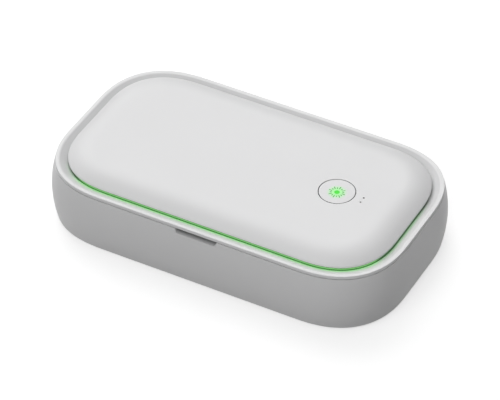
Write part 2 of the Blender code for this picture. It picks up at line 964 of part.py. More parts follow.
def lid_panel():
    """The domed top, with the button hole, the two pin holes and four screw bosses."""
    bend = math.pi / 2 - shoulder_angle
    run = panel_edge_round * (1 - math.sin(shoulder_angle)) + shoulder_radius * math.sin(shoulder_angle)
    flat_inset = panel_inset + run
    centre = (flat_inset, panel_top - shoulder_radius)
    outer = arc(centre, shoulder_radius, bend, math.pi / 2, shoulder_steps)
    foot_inset, foot_level = outer[0]
    edge_centre = (
        foot_inset + panel_edge_round * math.cos(bend),
        foot_level - panel_edge_round * math.sin(bend),
    )
    edge = arc(edge_centre, panel_edge_round, 0, bend, round_steps)[:-1]
    inner_radius = shoulder_radius - panel_thickness
    inner_edge = panel_inset + panel_thickness
    inner_bend = math.acos((flat_inset - inner_edge) / inner_radius)
    inner = arc(centre, inner_radius, inner_bend, math.pi / 2, inner_shoulder_steps)
    inner = [point for point in inner if point[1] > panel_edge + bite]
    skirt = [(panel_inset, panel_edge), (inner_edge, panel_edge)]
    sections = outer[::-1] + edge[::-1] + skirt + inner
    panel = loft("lid_panel", sections, case_white, ring=False)
    for name, place in lid_screw_places().items():
        low = liner_top + clearance
        high = panel_underside + bite
        join(panel, rod("panel_boss_" + name, screw_boss_radius, low, high, None, place))
        tip = liner_plate_bottom + screw_head_height + screw_length + clearance
        shank = screw_shank_radius + clearance
        cut(panel, rod("panel_hole_" + name, shank, low - overrun, tip, None, place))
    low = panel_underside - overrun
    high = panel_top + overrun
    opening = button_radius + button_gap
    cut(panel, rod("button_hole", opening, low, high, None, (button_x, 0), button_steps))
    for name, y in indicator_places().items():
        place = (indicator_x, y)
        opening = "pin_opening_" + name
        cut(panel, rod(opening, indicator_hole_radius, low, high, None, place, small_sides))
    return panel


def lid_screw_places():
    return corners(half_length - lid_screw_from_end, half_width - lid_screw_from_side)


def indicator_places():
    return {"front": -indicator_spacing / 2, "rear": indicator_spacing / 2}


def light_guide():
    """The clear ring under the panel's edge that carries the green light."""
    sections = [
        (guide_inset, guide_bottom),
        (guide_inset, guide_top),
        (guide_inner_inset, guide_top),
        (guide_inner_inset, guide_bottom),
    ]
    return loft("light_guide", sections, glow_green)


def glow_board():
    """An upright strip behind the guide's front, with a row of lamps facing it."""
    lamp_front = half_width - guide_inner_inset - clearance
    board_front = lamp_front - glow_lamp_depth
    half = glow_board_length / 2
    near = (-half, -board_front, guide_bottom)
    far = (half, glow_board_thickness - board_front, guide_top)
    strip = block("glow_board", near, far, board_green)
    spread = glow_board_length - glow_spread
    lamp_low = (guide_bottom + guide_top - glow_lamp_height) / 2
    lamp_back = glow_board_thickness / 2 - board_front
    for number, x in enumerate(evenly(-spread / 2, spread / 2, glow_lamp_count - 1), 1):
        near = (x - glow_lamp_length / 2, -lamp_front, lamp_low)
        far = (x + glow_lamp_length / 2, lamp_back, lamp_low + glow_lamp_height)
        join(strip, block("glow_lamp_" + str(number), near, far))
    return strip


def lid_liner():
    """The lid's inner cover: a flange that plugs the base's mouth round a raised plate."""
    block_inset = shelf_inset + clearance
    sections = [
        (block_inset, liner_top),
        (block_inset, liner_flange_top),
        (liner_flange_inset, liner_flange_top),
        (liner_flange_inset, liner_flange_bottom),
        (liner_recess_inset - edge_round, liner_flange_bottom),
        (liner_recess_inset, liner_flange_bottom + edge_round),
        (liner_recess_inset, liner_plate_bottom),
    ]
    liner = loft("lid_liner", sections, inner_white, ring=False)
    for name, place in lid_screw_places().items():
        low = liner_plate_bottom - overrun
        head = screw_head_radius + clearance
        seat = liner_plate_bottom + screw_head_height + clearance
        cut(liner, rod("liner_head_pocket_" + name, head, low, seat, None, place))
        shank = screw_shank_radius + clearance
        cut(liner, rod("liner_shank_hole_" + name, shank, low, liner_top + overrun, None, place))
    for side_name, x in ends(magnet_spacing / 2).items():
        low = liner_flange_bottom - overrun
        high = liner_flange_bottom + lid_magnet_height + clearance
        pocket = magnet_radius + clearance
        cut(liner, rod("lid_magnet_pocket_" + side_name, pocket, low, high, None, (x, -magnet_y)))
    cut_lamp_seats(liner, "liner", liner_top, -1)
    return liner


def button():
    """The button cap, the lens under its sign and the switch stem, which move together."""
    skin_low = panel_top - button_skin
    pocket = lens_radius + clearance
    flange = button_radius + button_flange_width
    profile = [
        (0, panel_top),
        (button_radius - button_edge, panel_top),
        (button_radius, panel_top - button_edge),
        (button_radius, button_flange_top),
        (flange, button_flange_top),
        (flange, button_flange_bottom),
        (pocket, button_flange_bottom),
        (pocket, skin_low),
        (0, skin_low),
    ]
    cap = turned("button_cap", profile, case_white, button_steps)
    cap.location = (button_x, 0, 0)
    place = (button_x, 0)
    high = skin_low - clearance
    lens = rod("icon_lens", lens_radius, button_flange_bottom, high, glow_green, place, window_sides)
    stem = rod("switch_plunger", switch_stem_radius, stem_bottom, stem_top, black_plastic, place)
    return [cap, lens, stem]


def lid_electronics():
    """The button's board, its switch, and the light pipes of the two pin holes."""
    half = lid_board_width / 2
    near = (button_x - lid_board_overhang, -half, lid_board_bottom)
    far = (button_x - lid_board_overhang + lid_board_length, half, lid_board_top)
    board = block("lid_board", near, far, board_green)
    half = switch_width / 2
    low = lid_board_top + clearance
    near = (button_x - half, -half, low)
    far = (button_x + half, half, low + switch_height)
    switch = block("tact_switch", near, far, black_plastic, edge_round)
    hole_low = stem_bottom - button_travel - clearance
    hole_high = low + switch_height + overrun
    opening = switch_stem_radius + clearance
    cut(switch, rod("stem_hole", opening, hole_low, hole_high, None, (button_x, 0)))
    pieces = [board, switch]
    for name, y in indicator_places().items():
        high = panel_underside - clearance
        pipe = "indicator_pipe_" + name
        pieces.append(rod(pipe, indicator_pipe_radius, low, high, quartz, (indicator_x, y)))
    return pieces


def axis_empty(name, place, holder=None):
    """An empty on a joint's axis, at a place in the world."""
    empty = bpy.data.objects.new(name, None)
    parts.objects.link(empty)
    empty.location = place
    if holder is not None:
        empty.parent = holder
        empty.location = Vector(place) - holder.location
    return empty


def hang(pieces, empty, place):
    """Parent pieces to a joint's empty and keep them where they are."""
    for piece in pieces:
        piece.parent = empty
        piece.location = piece.location - Vector(place)


def build_base():
    base_shell()
    bottom_cover()
    feet()
    for name, place in corners(foot_x, foot_y).items():
        screw("base_screw_" + name, place, foot_pocket_top)
    floor_plate()
    chamber_wall()
    opening = window_radius - clearance
    reflector("chamber_reflector", floor_reflector_bottom, chamber_floor_inset + chamber_round, opening)
    lamps("base", tray_underside, 1)
    main_board()
    usb_socket()
    light_seal()
    hinge_pins()
    magnets_and_sensor()


def build_lid():
    """The pieces that turn about the hinge."""
    before = set(parts.objects)
    lid_frame()
    lid_panel()
    light_guide()
    glow_board()
    lid_liner()
    low = liner_plate_bottom - clearance - reflector_thickness
    reflector("lid_reflector", low, liner_recess_inset + clearance, window_radius - clearance)
    lamps("lid", liner_top, -1)
    lid_electronics()
    for name, place in lid_screw_places().items():
        screw("lid_screw_" + name, place, liner_plate_bottom)
    top = liner_flange_bottom + lid_magnet_height
    for side_name, x in ends(magnet_spacing / 2).items():
        rod("lid_magnet_" + side_name, magnet_radius, liner_flange_bottom, top, steel, (x, -magnet_y))
    return [piece for piece in parts.objects if piece not in before]


def main():
    clear_scene()
    build_base()
    hinge_place = (0, hinge_y, hinge_z)
    lid_pieces = build_lid()
    lid_axis = axis_empty("lid_hinge_axis", hinge_place)
    hang(lid_pieces, lid_axis, hinge_place)
    button_place = (button_x, 0, panel_top)
    button_pieces = button()
    button_axis = axis_empty("button_axis", button_place, lid_axis)
    hang(button_pieces, button_axis, button_place)


main()
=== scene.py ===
"""Sterilization box: a white case with a hinged lid, a lit groove and a lit push button.

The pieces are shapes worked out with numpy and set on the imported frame. Lengths are in metres.
X runs along the case, the front faces -Y and Z is up.
"""
import json
import math

import bmesh
import bpy
import numpy as np
from bpy.props import FloatProperty, FloatVectorProperty, IntProperty, PointerProperty
from mathutils import Matrix, Vector


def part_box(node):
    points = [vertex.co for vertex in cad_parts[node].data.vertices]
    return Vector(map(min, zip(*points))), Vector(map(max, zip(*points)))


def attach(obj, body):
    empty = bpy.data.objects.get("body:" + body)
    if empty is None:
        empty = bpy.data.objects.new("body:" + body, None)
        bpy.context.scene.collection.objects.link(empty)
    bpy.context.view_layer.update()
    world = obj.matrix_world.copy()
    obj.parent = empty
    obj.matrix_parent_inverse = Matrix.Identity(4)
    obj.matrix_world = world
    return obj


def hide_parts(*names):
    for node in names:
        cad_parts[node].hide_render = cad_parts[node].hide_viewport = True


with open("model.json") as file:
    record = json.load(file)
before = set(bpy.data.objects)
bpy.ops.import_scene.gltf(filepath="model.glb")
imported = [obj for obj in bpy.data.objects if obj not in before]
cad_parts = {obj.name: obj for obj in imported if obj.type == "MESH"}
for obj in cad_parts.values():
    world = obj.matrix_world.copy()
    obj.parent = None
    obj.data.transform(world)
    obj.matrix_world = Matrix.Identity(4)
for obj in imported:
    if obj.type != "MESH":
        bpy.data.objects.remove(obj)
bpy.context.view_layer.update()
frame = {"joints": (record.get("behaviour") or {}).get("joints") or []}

bl_info = {
    "name": "Sterilization box",
    "version": (1, 0, 0),
    "blender": (4, 5, 0),
    "location": "3D View > Sidebar > Sterilizer",
    "description": "Builds the pieces and finishes of a sterilization box on its packed frame",
    "category": "Object",
}


def low(node):
    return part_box(node)[0]


def high(node):
    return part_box(node)[1]


def middle_of(node):
    return (low(node) + high(node)) / 2


def half_across(node):
    """Half of a node's length along X."""
    return (high(node).x - low(node).x) / 2


# Places read from the frame
half_length = high("base_shell").x
half_width = high("base_shell").y
base_bottom = low("base_shell").z
base_top = high("base_shell").z
rim_top = high("lid_frame").z
panel_top = high("lid_panel").z
cover_top = base_bottom + 0.0022
floor_top = high("floor_plate").z
floor_bottom = high("base_uv_board_left").z
hinge_axis = Vector(frame["joints"][0]["pos_m"])
button_x = (low("button_cap").x + high("button_cap").x) / 2
lamp_x = high("base_window_right").x - 0.0060
foot_places = [(x, y) for x in (-0.0800, 0.0800) for y in (-0.0400, 0.0400)]
lid_screw_places = [(x, y) for x in (-0.0700, 0.0700) for y in (-0.0360, 0.0360)]
magnet_places = [(-0.0450, -0.0539), (0.0450, -0.0539)]

# Levels and insets that the frame's boxes don't give
clearance = 0.0003
tray_seat_top = 0.0309
tray_flange_top = 0.0332
seal_inset = 0.0153
seal_width = 0.0012
cover_seat_low = 0.0035
cover_seat_high = 0.0055
shelf_top = 0.0372
slope_foot = 0.03835
slope_inner = 0.0097
shelf_inset = 0.0138
liner_top = 0.0387
liner_plate = 0.0365
liner_flange_top = 0.0359
liner_flange_bottom = 0.0340
frame_bottom = 0.0362
swing_radius = 0.00515
hinge_half = 0.0420
knuckle_radius = 0.0022
knuckle_length = 0.0063
bore_radius = 0.0011
beam_radius = 0.00235
slot_front = hinge_axis.y - 0.00285
slot_bottom = hinge_axis.z - 0.0032
screw_boss = 0.00325
screw_hole = 0.00155
head_pocket = 0.0027
magnet_pocket = 0.0023
notch_wall_inset = 0.0066
notch_wall_swing = 0.00485
notch_taper = 0.08
lit_lean = 0.10
faint_lean = 0.33
sun_spread = 50
past = 0.002


def a_length(name, words, value):
    return FloatProperty(name=name, description=words, default=value, unit="LENGTH")


def an_angle(name, words, degrees):
    return FloatProperty(name=name, description=words, default=math.radians(degrees), subtype="ANGLE")


def a_number(name, words, value):
    return FloatProperty(name=name, description=words, default=value)


def a_colour(name, words, value):
    return FloatVectorProperty(name=name, description=words, default=value, subtype="COLOR", size=3)


class CaseSizes(bpy.types.PropertyGroup):
    """Sizes of the case's outline and its walls."""

    corner_reach: a_length("Corner reach", "How far each rounded corner reaches along the sides", 0.0510)
    corner_power: a_number(
        "Corner power", "Power of the corner's curve, where 2 is a circle and more is squarer", 2.46
    )
    corner_steps: IntProperty(name="Corner steps", description="Faces round each corner", default=28)
    widest_level: a_length("Widest level", "Height at which the side bulges out the most", 0.0205)
    rim_inset: a_length("Rim inset", "How far the rim's top edge lies inside the widest level", 0.00265)
    wall: a_length("Wall", "Thickness of the outer wall", 0.0024)
    bottom_round: a_length("Bottom round", "Radius of the case's bottom edge", 0.0020)
    lip_round: a_length("Lip round", "Radius of the edges that meet at the parting line", 0.00012)
    notch_length: a_length("Notch length", "Length of the finger notch", 0.0270)
    notch_height: a_length("Notch height", "Height of the finger notch", 0.0026)
    notch_depth: a_length("Notch depth", "How far the notch reaches inwards", 0.0043)
    notch_round: a_length("Notch round", "Radius of the notch's lower corners", 0.0007)
    lip_drop: a_length("Lip drop", "How far the wall's top sinks behind its outer edge", 0.0005)


class LidSizes(bpy.types.PropertyGroup):
    """Sizes of the lid's rim, groove and domed panel."""

    land_width: a_length("Land width", "Width of the flat ring at the rim's top", 0.0019)
    panel_inset: a_length("Panel inset", "How far the panel's edge lies inside the widest outline", 0.0096)
    panel_edge: a_length("Panel edge level", "Height of the panel's lower edge", 0.04035)
    panel_thickness: a_length("Panel thickness", "Thickness of the panel", 0.0016)
    edge_round: a_length("Panel edge round", "Radius of the panel's outer edge", 0.0013)
    shoulder_radius: a_length("Shoulder radius", "Radius of the panel's shoulder", 0.0235)
    shoulder_angle: an_angle("Shoulder angle", "Steepest slope of the panel's shoulder", 39)


class ButtonSizes(bpy.types.PropertyGroup):
    """Sizes of the button and its sun sign."""

    radius: a_length("Radius", "Radius of the button's face", 0.01065)
    gap: a_length("Gap", "Gap between the button and the panel", 0.0005)
    sign_shift: FloatVectorProperty(
        name="Sign shift", description="Where the sign's middle lies from the button's middle",
        default=(0.00032, -0.0006), unit="LENGTH", size=2,
    )
    dot_radius: a_length("Dot radius", "Radius of the dot in the middle of the sign", 0.0016)
    ray_start: a_length("Ray start", "Distance from the middle at which the rays start", 0.0031)
    long_ray_end: a_length("Long ray end", "Distance from the middle at which the long rays end", 0.0052)
    short_ray_end: a_length("Short ray end", "Distance from the middle at which the short rays end", 0.0043)
    ray_width: a_length("Ray width", "Width of each ray", 0.00055)


class Colours(bpy.types.PropertyGroup):
    """Colours of the case and of its light."""

    case_white: a_colour("Case white", "Colour of the outer plastic", (0.775, 0.775, 0.780))
    inner_white: a_colour("Inner white", "Colour of the plastic inside", (0.70, 0.71, 0.72))
    glow: a_colour("Glow", "Light of the groove's lit ring", (0.23, 0.58, 0.19))
    # painted light: emission on the rim's slope that stands in for the ring's glow falling on it
    painted_rim_glow: a_colour("Rim tint", "Light that the lit ring throws on the rim's slope", (0.04, 0.34, 0.03))
    sign_dot: a_colour("Sign dot", "Light of the sign's middle", (0.02, 0.62, 0.0))
    sign_rays: a_colour("Sign rays", "Light of the sign's rays", (0.0, 0.26, 0.0))
    # painted light: emission round the sign on the cap, standing in for its glow through the plastic
    painted_sign_halo: a_colour("Sign halo", "Light that the sign throws into the cap round it", (0.0, 0.12, 0.0))


class Studio(bpy.types.PropertyGroup):
    """The camera, the lights and the floor."""

    azimuth: an_angle("Azimuth", "Direction of the camera round the case, where 0 looks along +Y", 28.257)
    elevation: an_angle("Elevation", "Angle of the camera above the floor", 40.174)
    distance: a_length("Distance", "Distance of the camera from the middle of the rim's level", 1.7901)
    offset_right: a_length(
        "Offset right", "Where the middle of the rim's level lies to the right of the view's axis",
        -0.000583
    )
    offset_up: a_length(
        "Offset up", "Where the middle of the rim's level lies above the view's axis", 0.017762
    )
    lens: a_number("Lens", "Focal length in millimetres on a sensor 36 mm wide", 220.45)
    key_strength: a_number("Key strength", "Light from behind on the left", 1.316)
    fill_strength: a_number("Fill strength", "Soft light from the front", 1.184)
    top_strength: a_number("Top strength", "Strength of the soft light from above", 0.590)
    sky_strength: a_number("Sky strength", "Even light from all round", 0.085)


def case_sizes():
    return bpy.context.scene.case_sizes


def lid_sizes():
    return bpy.context.scene.lid_sizes


def button_sizes():
    return bpy.context.scene.button_sizes


def colours():
    return bpy.context.scene.box_colours


def sign_place():
    """The middle of the button's sign."""
    across, along = button_sizes().sign_shift
    return button_x + across, along


# Sections and surfaces


def side_inset(height):
    """Inset of the case's side: it grows with the square of the distance from the widest level."""
    case = case_sizes()
    share = (height - case.widest_level) / (rim_top - case.widest_level)
    return case.rim_inset * share ** 2


def side(start, end, depth, steps):
    """Section points along the case's side between two heights, at a depth inside its face."""
    heights = np.linspace(start, end, steps + 1)
    return [(inset + depth, height) for inset, height in zip(side_inset(heights), heights)]


def arc(centre, radius, start, end, steps):
    """Section points on a circle: inset = centre - radius * cos, height = centre + radius * sin."""
    angles = np.linspace(start, end, steps + 1)
    insets = centre[0] - radius * np.cos(angles)
    return list(zip(insets, centre[1] + radius * np.sin(angles)))


def rounded(points, steps=4):
    """Section points with rounded corners.

    A point is an inset, a height and, where its corner is rounded, a radius. The arc touches
    both sides of the corner: its middle lies on the corner's bisector, radius / sin(half the
    corner's angle) away, and its points turn evenly from one touching point to the other.
    """
    spots = np.array([point[:2] for point in points], float)
    back = np.roll(spots, 1, axis=0) - spots
    ahead = np.roll(spots, -1, axis=0) - spots
    shares = np.linspace(0, 1, steps + 1)[:, None]
    made = []
    for point, spot, one, two in zip(points, spots, back, ahead):
        if len(point) < 3:
            made.append(spot[None])
            continue
        reach = min(np.linalg.norm(one), np.linalg.norm(two))
        one = one / np.linalg.norm(one)
        two = two / np.linalg.norm(two)
        half = math.acos(np.clip(one @ two, -1, 1)) / 2
        cut = min(point[2] / math.tan(half), 0.48 * reach)
        radius = cut * math.tan(half)
        bisector = (one + two) / np.linalg.norm(one + two)
        middle = spot + bisector * radius / math.sin(half)
        start = spot + one * cut - middle
        end = spot + two * cut - middle
        turn = math.pi - 2 * half
        swung = np.sin((1 - shares) * turn) * start + np.sin(shares * turn) * end
        made.append(middle + swung / math.sin(turn))
    return np.concatenate(made)


def outline(insets, shape):
    """One row of outline points for each inset.

    The outline is a rectangle with corners x = middle + reach * cos(t) ** (2 / power) and
    y = middle + reach * sin(t) ** (2 / power). An inset shortens the reach, so every row keeps
    its distance from the first. The straights between the corners are cut into equal lengths.
    """
    half_x, half_y, reach, power, steps, straights = shape
    turn = np.linspace(0, math.pi / 2, steps + 1)
    short = reach - np.asarray(insets, float)[:, None]
    x = half_x - reach + short * np.clip(np.cos(turn), 0, 1) ** (2 / power)
    y = half_y - reach + short * np.clip(np.sin(turn), 0, 1) ** (2 / power)
    sides_x = [x, -x[:, ::-1], -x, x[:, ::-1]]
    sides_y = [y, y[:, ::-1], -y, -y[:, ::-1]]
    share = np.linspace(0, 1, straights + 1)[1:-1]
    rows = []
    for number in range(4):
        here = np.stack([sides_x[number], sides_y[number]], axis=2)
        after = (number + 1) % 4
        there = np.stack([sides_x[after][:, 0], sides_y[after][:, 0]], axis=1)
        rows.append(here)
        run = there - here[:, -1]
        if np.abs(run).max() > 1e-7:
            rows.append(here[:, -1:] + share[None, :, None] * run[:, None])
        else:
            rows[-1] = here[:, :-1]
    return np.concatenate(rows, axis=1)


def case_shape(straights=10):
    case = case_sizes()
    return (half_length, half_width, case.corner_reach, case.corner_power, case.corner_steps, straights)


def grid_faces(rows, columns, ring):
    """Quads between each row of a grid and the next, closed round the columns."""
    row = np.arange(rows if ring else rows - 1)[:, None]
    column = np.arange(columns)[None]
    beside = (column + 1) % columns
    above = (row + 1) % rows
    here, there = row * columns, above * columns
    corners = (here + column, here + beside, there + beside, there + column)
    return np.stack(np.broadcast_arrays(*corners), axis=2).reshape(-1, 4)


def new_piece(name, points, faces):
    """An object from arrays of points and faces, with its faces turned outwards."""
    mesh = bpy.data.meshes.new(name)
    mesh.from_pydata(points.reshape(-1, 3).tolist(), [], faces)
    bm = bmesh.new()
    bm.from_mesh(mesh)
    bmesh.ops.remove_doubles(bm, verts=bm.verts, dist=1e-8)
    bmesh.ops.recalc_face_normals(bm, faces=bm.faces)
    bm.to_mesh(mesh)
    bm.free()
    piece = bpy.data.objects.new(name, mesh)
    bpy.context.scene.collection.objects.link(piece)
    return piece


def carried(name, section, shape=None, ring=False, place=(0, 0, 0), turn=None):
    """A section carried round an outline.

    Row i of the surface is the outline at the section's inset i, raised to its height i. A ring
    joins the last row to the first, and otherwise the first and last rows are filled.
    """
    section = np.asarray(section, float)
    flat = outline(section[:, 0], shape or case_shape())
    count = flat.shape[1]
    heights = np.broadcast_to(section[:, 1, None, None], (len(section), count, 1))
    points = np.concatenate([flat, heights], axis=2)
    faces = grid_faces(len(section), count, ring).tolist()
    if not ring:
        faces.append(list(range(count)))
        faces.append(list(range((len(section) - 1) * count, len(section) * count)))
    piece = new_piece(name, points, faces)
    if turn is not None:
        piece.data.transform(turn)
    piece.data.transform(Matrix.Translation(place))
    return piece


def round_shape(radius, steps=12):
    return (radius, radius, radius, 2.0, steps, 1)


def box_shape(half_x, half_y, corner, steps=5):
    return (half_x, half_y, corner, 2.0, steps, 1)


def upright(start, end, edge=0.0):
    """The section of a plain solid between two heights, with rounded edges."""
    if edge == 0:
        return [(0, start), (0, end)]
    return rounded([(2 * edge, start), (0, start, edge), (0, end, edge), (2 * edge, end)])


def rod(name, radius, start, end, place=(0, 0), edge=0.0, steps=12):
    """An upright round bar between two heights, in either order."""
    start, end = sorted((start, end))
    return carried(name, upright(start, end, edge), round_shape(radius, steps), place=(*place, 0))


def axle(name, radius, start, end, edge=0.0, steps=10):
    """A round bar on the hinge's axis, between two places along X."""
    turn = Matrix.Rotation(math.pi / 2, 4, "Y")
    place = (0, hinge_axis.y, hinge_axis.z)
    start, end = sorted((start, end))
    return carried(name, upright(start, end, edge), round_shape(radius, steps), place=place, turn=turn)


def block(name, near, far, corner=0.0001, edge=0.0):
    """A box between two opposite corners, with rounded upright corners and edges."""
    near, far = Vector(tuple(map(min, near, far))), Vector(tuple(map(max, near, far)))
    half = (far - near) / 2
    middle = (far + near) / 2
    shape = box_shape(half.x, half.y, corner)
    return carried(name, upright(near.z, far.z, edge), shape, place=(middle.x, middle.y, 0))


def shaped(piece, tools, operation="DIFFERENCE"):
    """Cut the tools out of a piece, or join them to it. The tools are used up."""
    for tool in tools:
        step = piece.modifiers.new(tool.name, "BOOLEAN")
        step.object = tool
        step.operation = operation
        step.solver = "EXACT"
    seen = piece.evaluated_get(bpy.context.evaluated_depsgraph_get())
    made = bpy.data.meshes.new_from_object(seen)
    piece.modifiers.clear()
    plain = piece.data
    piece.data = made
    bpy.data.meshes.remove(plain)
    for tool in tools:
        bpy.data.objects.remove(tool)
    return piece


def merged(name, pieces):
    """Several closed pieces as one object."""
    bm = bmesh.new()
    for piece in pieces:
        bm.from_mesh(piece.data)
        bpy.data.objects.remove(piece)
    mesh = bpy.data.meshes.new(name)
    bm.to_mesh(mesh)
    bm.free()
    piece = bpy.data.objects.new(name, mesh)
    bpy.context.scene.collection.objects.link(piece)
    return piece


def dress(piece, body, finish, nodes=(), bevel=0.0, sharp=32):
    """Give a piece its finish and shading, and set it on its body in place of its CAD nodes."""
    mesh = piece.data
    mesh.materials.clear()
    mesh.materials.append(Finishes.get(finish))
    mesh.shade_smooth()
    mesh.set_sharp_from_angle(angle=math.radians(sharp))
    if bevel > 0:
        soft = piece.modifiers.new("soft_edges", "BEVEL")
        soft.width = bevel
        soft.segments = 2
        soft.limit_method = "ANGLE"
        soft.angle_limit = math.radians(sharp)
    even = piece.modifiers.new("even_shading", "WEIGHTED_NORMAL")
    even.keep_sharp = True
    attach(piece, body)
    if nodes:
        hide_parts(*nodes)
    return piece


# Materials


def put(tree, kind, inputs=None, **settings):
    """Add a node, set it up, and set or link its inputs."""
    made = tree.nodes.new("ShaderNode" + kind)
    for name, value in settings.items():
        setattr(made, name, value)
    feed(tree, made, inputs or {})
    return made


def feed(tree, node, inputs):
    """Set or link a node's inputs."""
    for name, value in inputs.items():
        if isinstance(value, bpy.types.NodeSocket):
            tree.links.new(value, node.inputs[name])
        else:
            node.inputs[name].default_value = value


def mixed(tree, share, one, two):
    """A colour between two, by a share that changes over the surface."""
    return put(tree, "Mix", {0: share, 6: one, 7: two}, data_type="RGBA").outputs[2]


def ranged(tree, value, start, end, to_start, to_end, smooth=False):
    """A value carried from one range to another, held at the ends."""
    kind = "SMOOTHSTEP" if smooth else "LINEAR"
    names = {"Value": value, "From Min": start, "From Max": end, "To Min": to_start, "To Max": to_end}
    return put(tree, "MapRange", names, interpolation_type=kind).outputs[0]


def maths(tree, operation, one, two=0.0):
    return put(tree, "Math", {0: one, 1: two}, operation=operation).outputs[0]


def times(tree, one, two):
    return maths(tree, "MULTIPLY", one, two)


def noise(tree, vector, scale, detail=2.0, roughness=0.5):
    names = {"Vector": vector, "Scale": scale, "Detail": detail, "Roughness": roughness}
    return put(tree, "TexNoise", names).outputs["Fac"]


def new_group(name, inputs, outputs):
    """An empty shader node group with named value inputs and outputs."""
    group = bpy.data.node_groups.new(name, "ShaderNodeTree")
    group.interface.new_socket("Vector", in_out="INPUT", socket_type="NodeSocketVector")
    for label in inputs:
        group.interface.new_socket(label, in_out="INPUT", socket_type="NodeSocketFloat")
    for label in outputs:
        group.interface.new_socket(label, in_out="OUTPUT", socket_type="NodeSocketFloat")
    return group, group.nodes.new("NodeGroupInput").outputs, group.nodes.new("NodeGroupOutput").inputs


def moulded_skin():
    """Node group: the fine grain, slow tone and gloss changes of moulded plastic."""
    if "moulded_skin" in bpy.data.node_groups:
        return bpy.data.node_groups["moulded_skin"]
    group, given, made = new_group("moulded_skin", ["Grain"], ["Height", "Tone", "Gloss"])
    spot = given["Vector"]
    grain = noise(group, spot, given["Grain"], 2.0)
    waves = noise(group, spot, 420.0, 1.0)
    group.links.new(
        maths(group, "ADD", times(group, grain, 0.75), times(group, waves, 0.25)), made["Height"]
    )
    group.links.new(noise(group, spot, 14.0, 3.0), made["Tone"])
    gloss = maths(group, "ADD", noise(group, spot, 55.0, 4.0), noise(group, spot, 900.0, 2.0))
    group.links.new(ranged(group, gloss, 0.6, 1.4, 0.0, 1.0), made["Gloss"])
    return group


def fine_wear():
    """Node group: thin scuffs and a thin film of dust, as masks."""
    if "fine_wear" in bpy.data.node_groups:
        return bpy.data.node_groups["fine_wear"]
    group, given, made = new_group("fine_wear", ["Stretch"], ["Scuffs", "Dust"])
    squeeze = put(group, "CombineXYZ", {"X": given["Stretch"], "Y": 1.0, "Z": 1.0}).outputs[0]
    pulled = put(group, "VectorMath", {0: given["Vector"], 1: squeeze}, operation="MULTIPLY").outputs[0]
    lines = noise(group, pulled, 1600.0, 3.0, 0.65)
    patches = noise(group, given["Vector"], 70.0, 3.0, 0.6)
    thin = ranged(group, lines, 0.60, 0.78, 0.0, 1.0)
    group.links.new(times(group, thin, ranged(group, patches, 0.48, 0.66, 0.0, 1.0)), made["Scuffs"])
    specks = noise(group, given["Vector"], 2600.0, 2.0, 0.7)
    loose = ranged(group, specks, 0.58, 0.70, 0.0, 1.0)
    group.links.new(times(group, loose, ranged(group, patches, 0.40, 0.62, 0.2, 1.0)), made["Dust"])
    return group


def use_group(tree, group, vector, **values):
    """A group's node in a material, with its values."""
    inputs = {"Vector": vector, **{label.capitalize(): value for label, value in values.items()}}
    return put(tree, "Group", inputs, node_tree=group).outputs


def new_finish(name):
    """A material with its Principled shader and the piece's own coordinates."""
    finish = bpy.data.materials.new(name)
    finish.use_nodes = True
    tree = finish.node_tree
    shader = tree.nodes["Principled BSDF"]
    spot = put(tree, "TexCoord").outputs["Object"]
    return finish, tree, shader, spot


def bumped(tree, shader, height, strength, distance):
    bump = put(tree, "Bump", {"Height": height, "Strength": strength, "Distance": distance})
    tree.links.new(bump.outputs[0], shader.inputs["Normal"])


def shade(colour, share):
    return (*[min(1.0, value * share) for value in colour], 1.0)


def skinned(name, colour, gloss=(0.36, 0.46), grain=7000.0, depth=0.000004, spread=0.02, dust=0.0):
    """Moulded plastic: a fine grain, with tone and gloss that change a little over the piece."""
    finish, tree, shader, spot = new_finish(name)
    skin = use_group(tree, moulded_skin(), spot, grain=grain)
    wear = use_group(tree, fine_wear(), spot, stretch=0.2)
    tone = mixed(tree, skin["Tone"], shade(colour, 1 - spread), shade(colour, 1 + spread))
    if dust > 0:
        tone = mixed(tree, times(tree, wear["Dust"], dust), tone, (0.42, 0.41, 0.39, 1))
    rough = ranged(tree, skin["Gloss"], 0.0, 1.0, *gloss)
    scuffed = maths(tree, "ADD", rough, times(tree, wear["Scuffs"], 0.10))
    feed(tree, shader, {"Base Color": tone, "Roughness": scuffed})
    bumped(tree, shader, skin["Height"], 0.6, depth)
    return finish, tree, shader, spot, tone


def plastic(*values):
    return skinned(*values)[0]


def lit(tree, shader, share, light):
    """Light from a surface by itself, in a share that changes over it."""
    seen = mixed(tree, share, (0, 0, 0, 1), (*light, 1))
    feed(tree, shader, {"Emission Color": seen, "Emission Strength": 1.0})


def front_light(tree, spot):
    """How much of the ring's light shows at a place.

    It is full along the front and round the front corners, weak along the right end, and gone
    at the rear. The light reaches further round the right corner than round the left.
    """
    parts = put(tree, "SeparateXYZ", {"Vector": spot}).outputs
    strong = ranged(tree, leaning(tree, parts, lit_lean), -0.0420, -0.0470, 0.0, 1.0, True)
    weak = ranged(tree, leaning(tree, parts, faint_lean), -0.0080, -0.0300, 0.0, 0.16, True)
    return maths(tree, "MAXIMUM", strong, weak), parts


def leaning(tree, parts, lean):
    """The place along Y, less a share of the place along X."""
    return maths(tree, "SUBTRACT", parts["Y"], times(tree, parts["X"], lean))


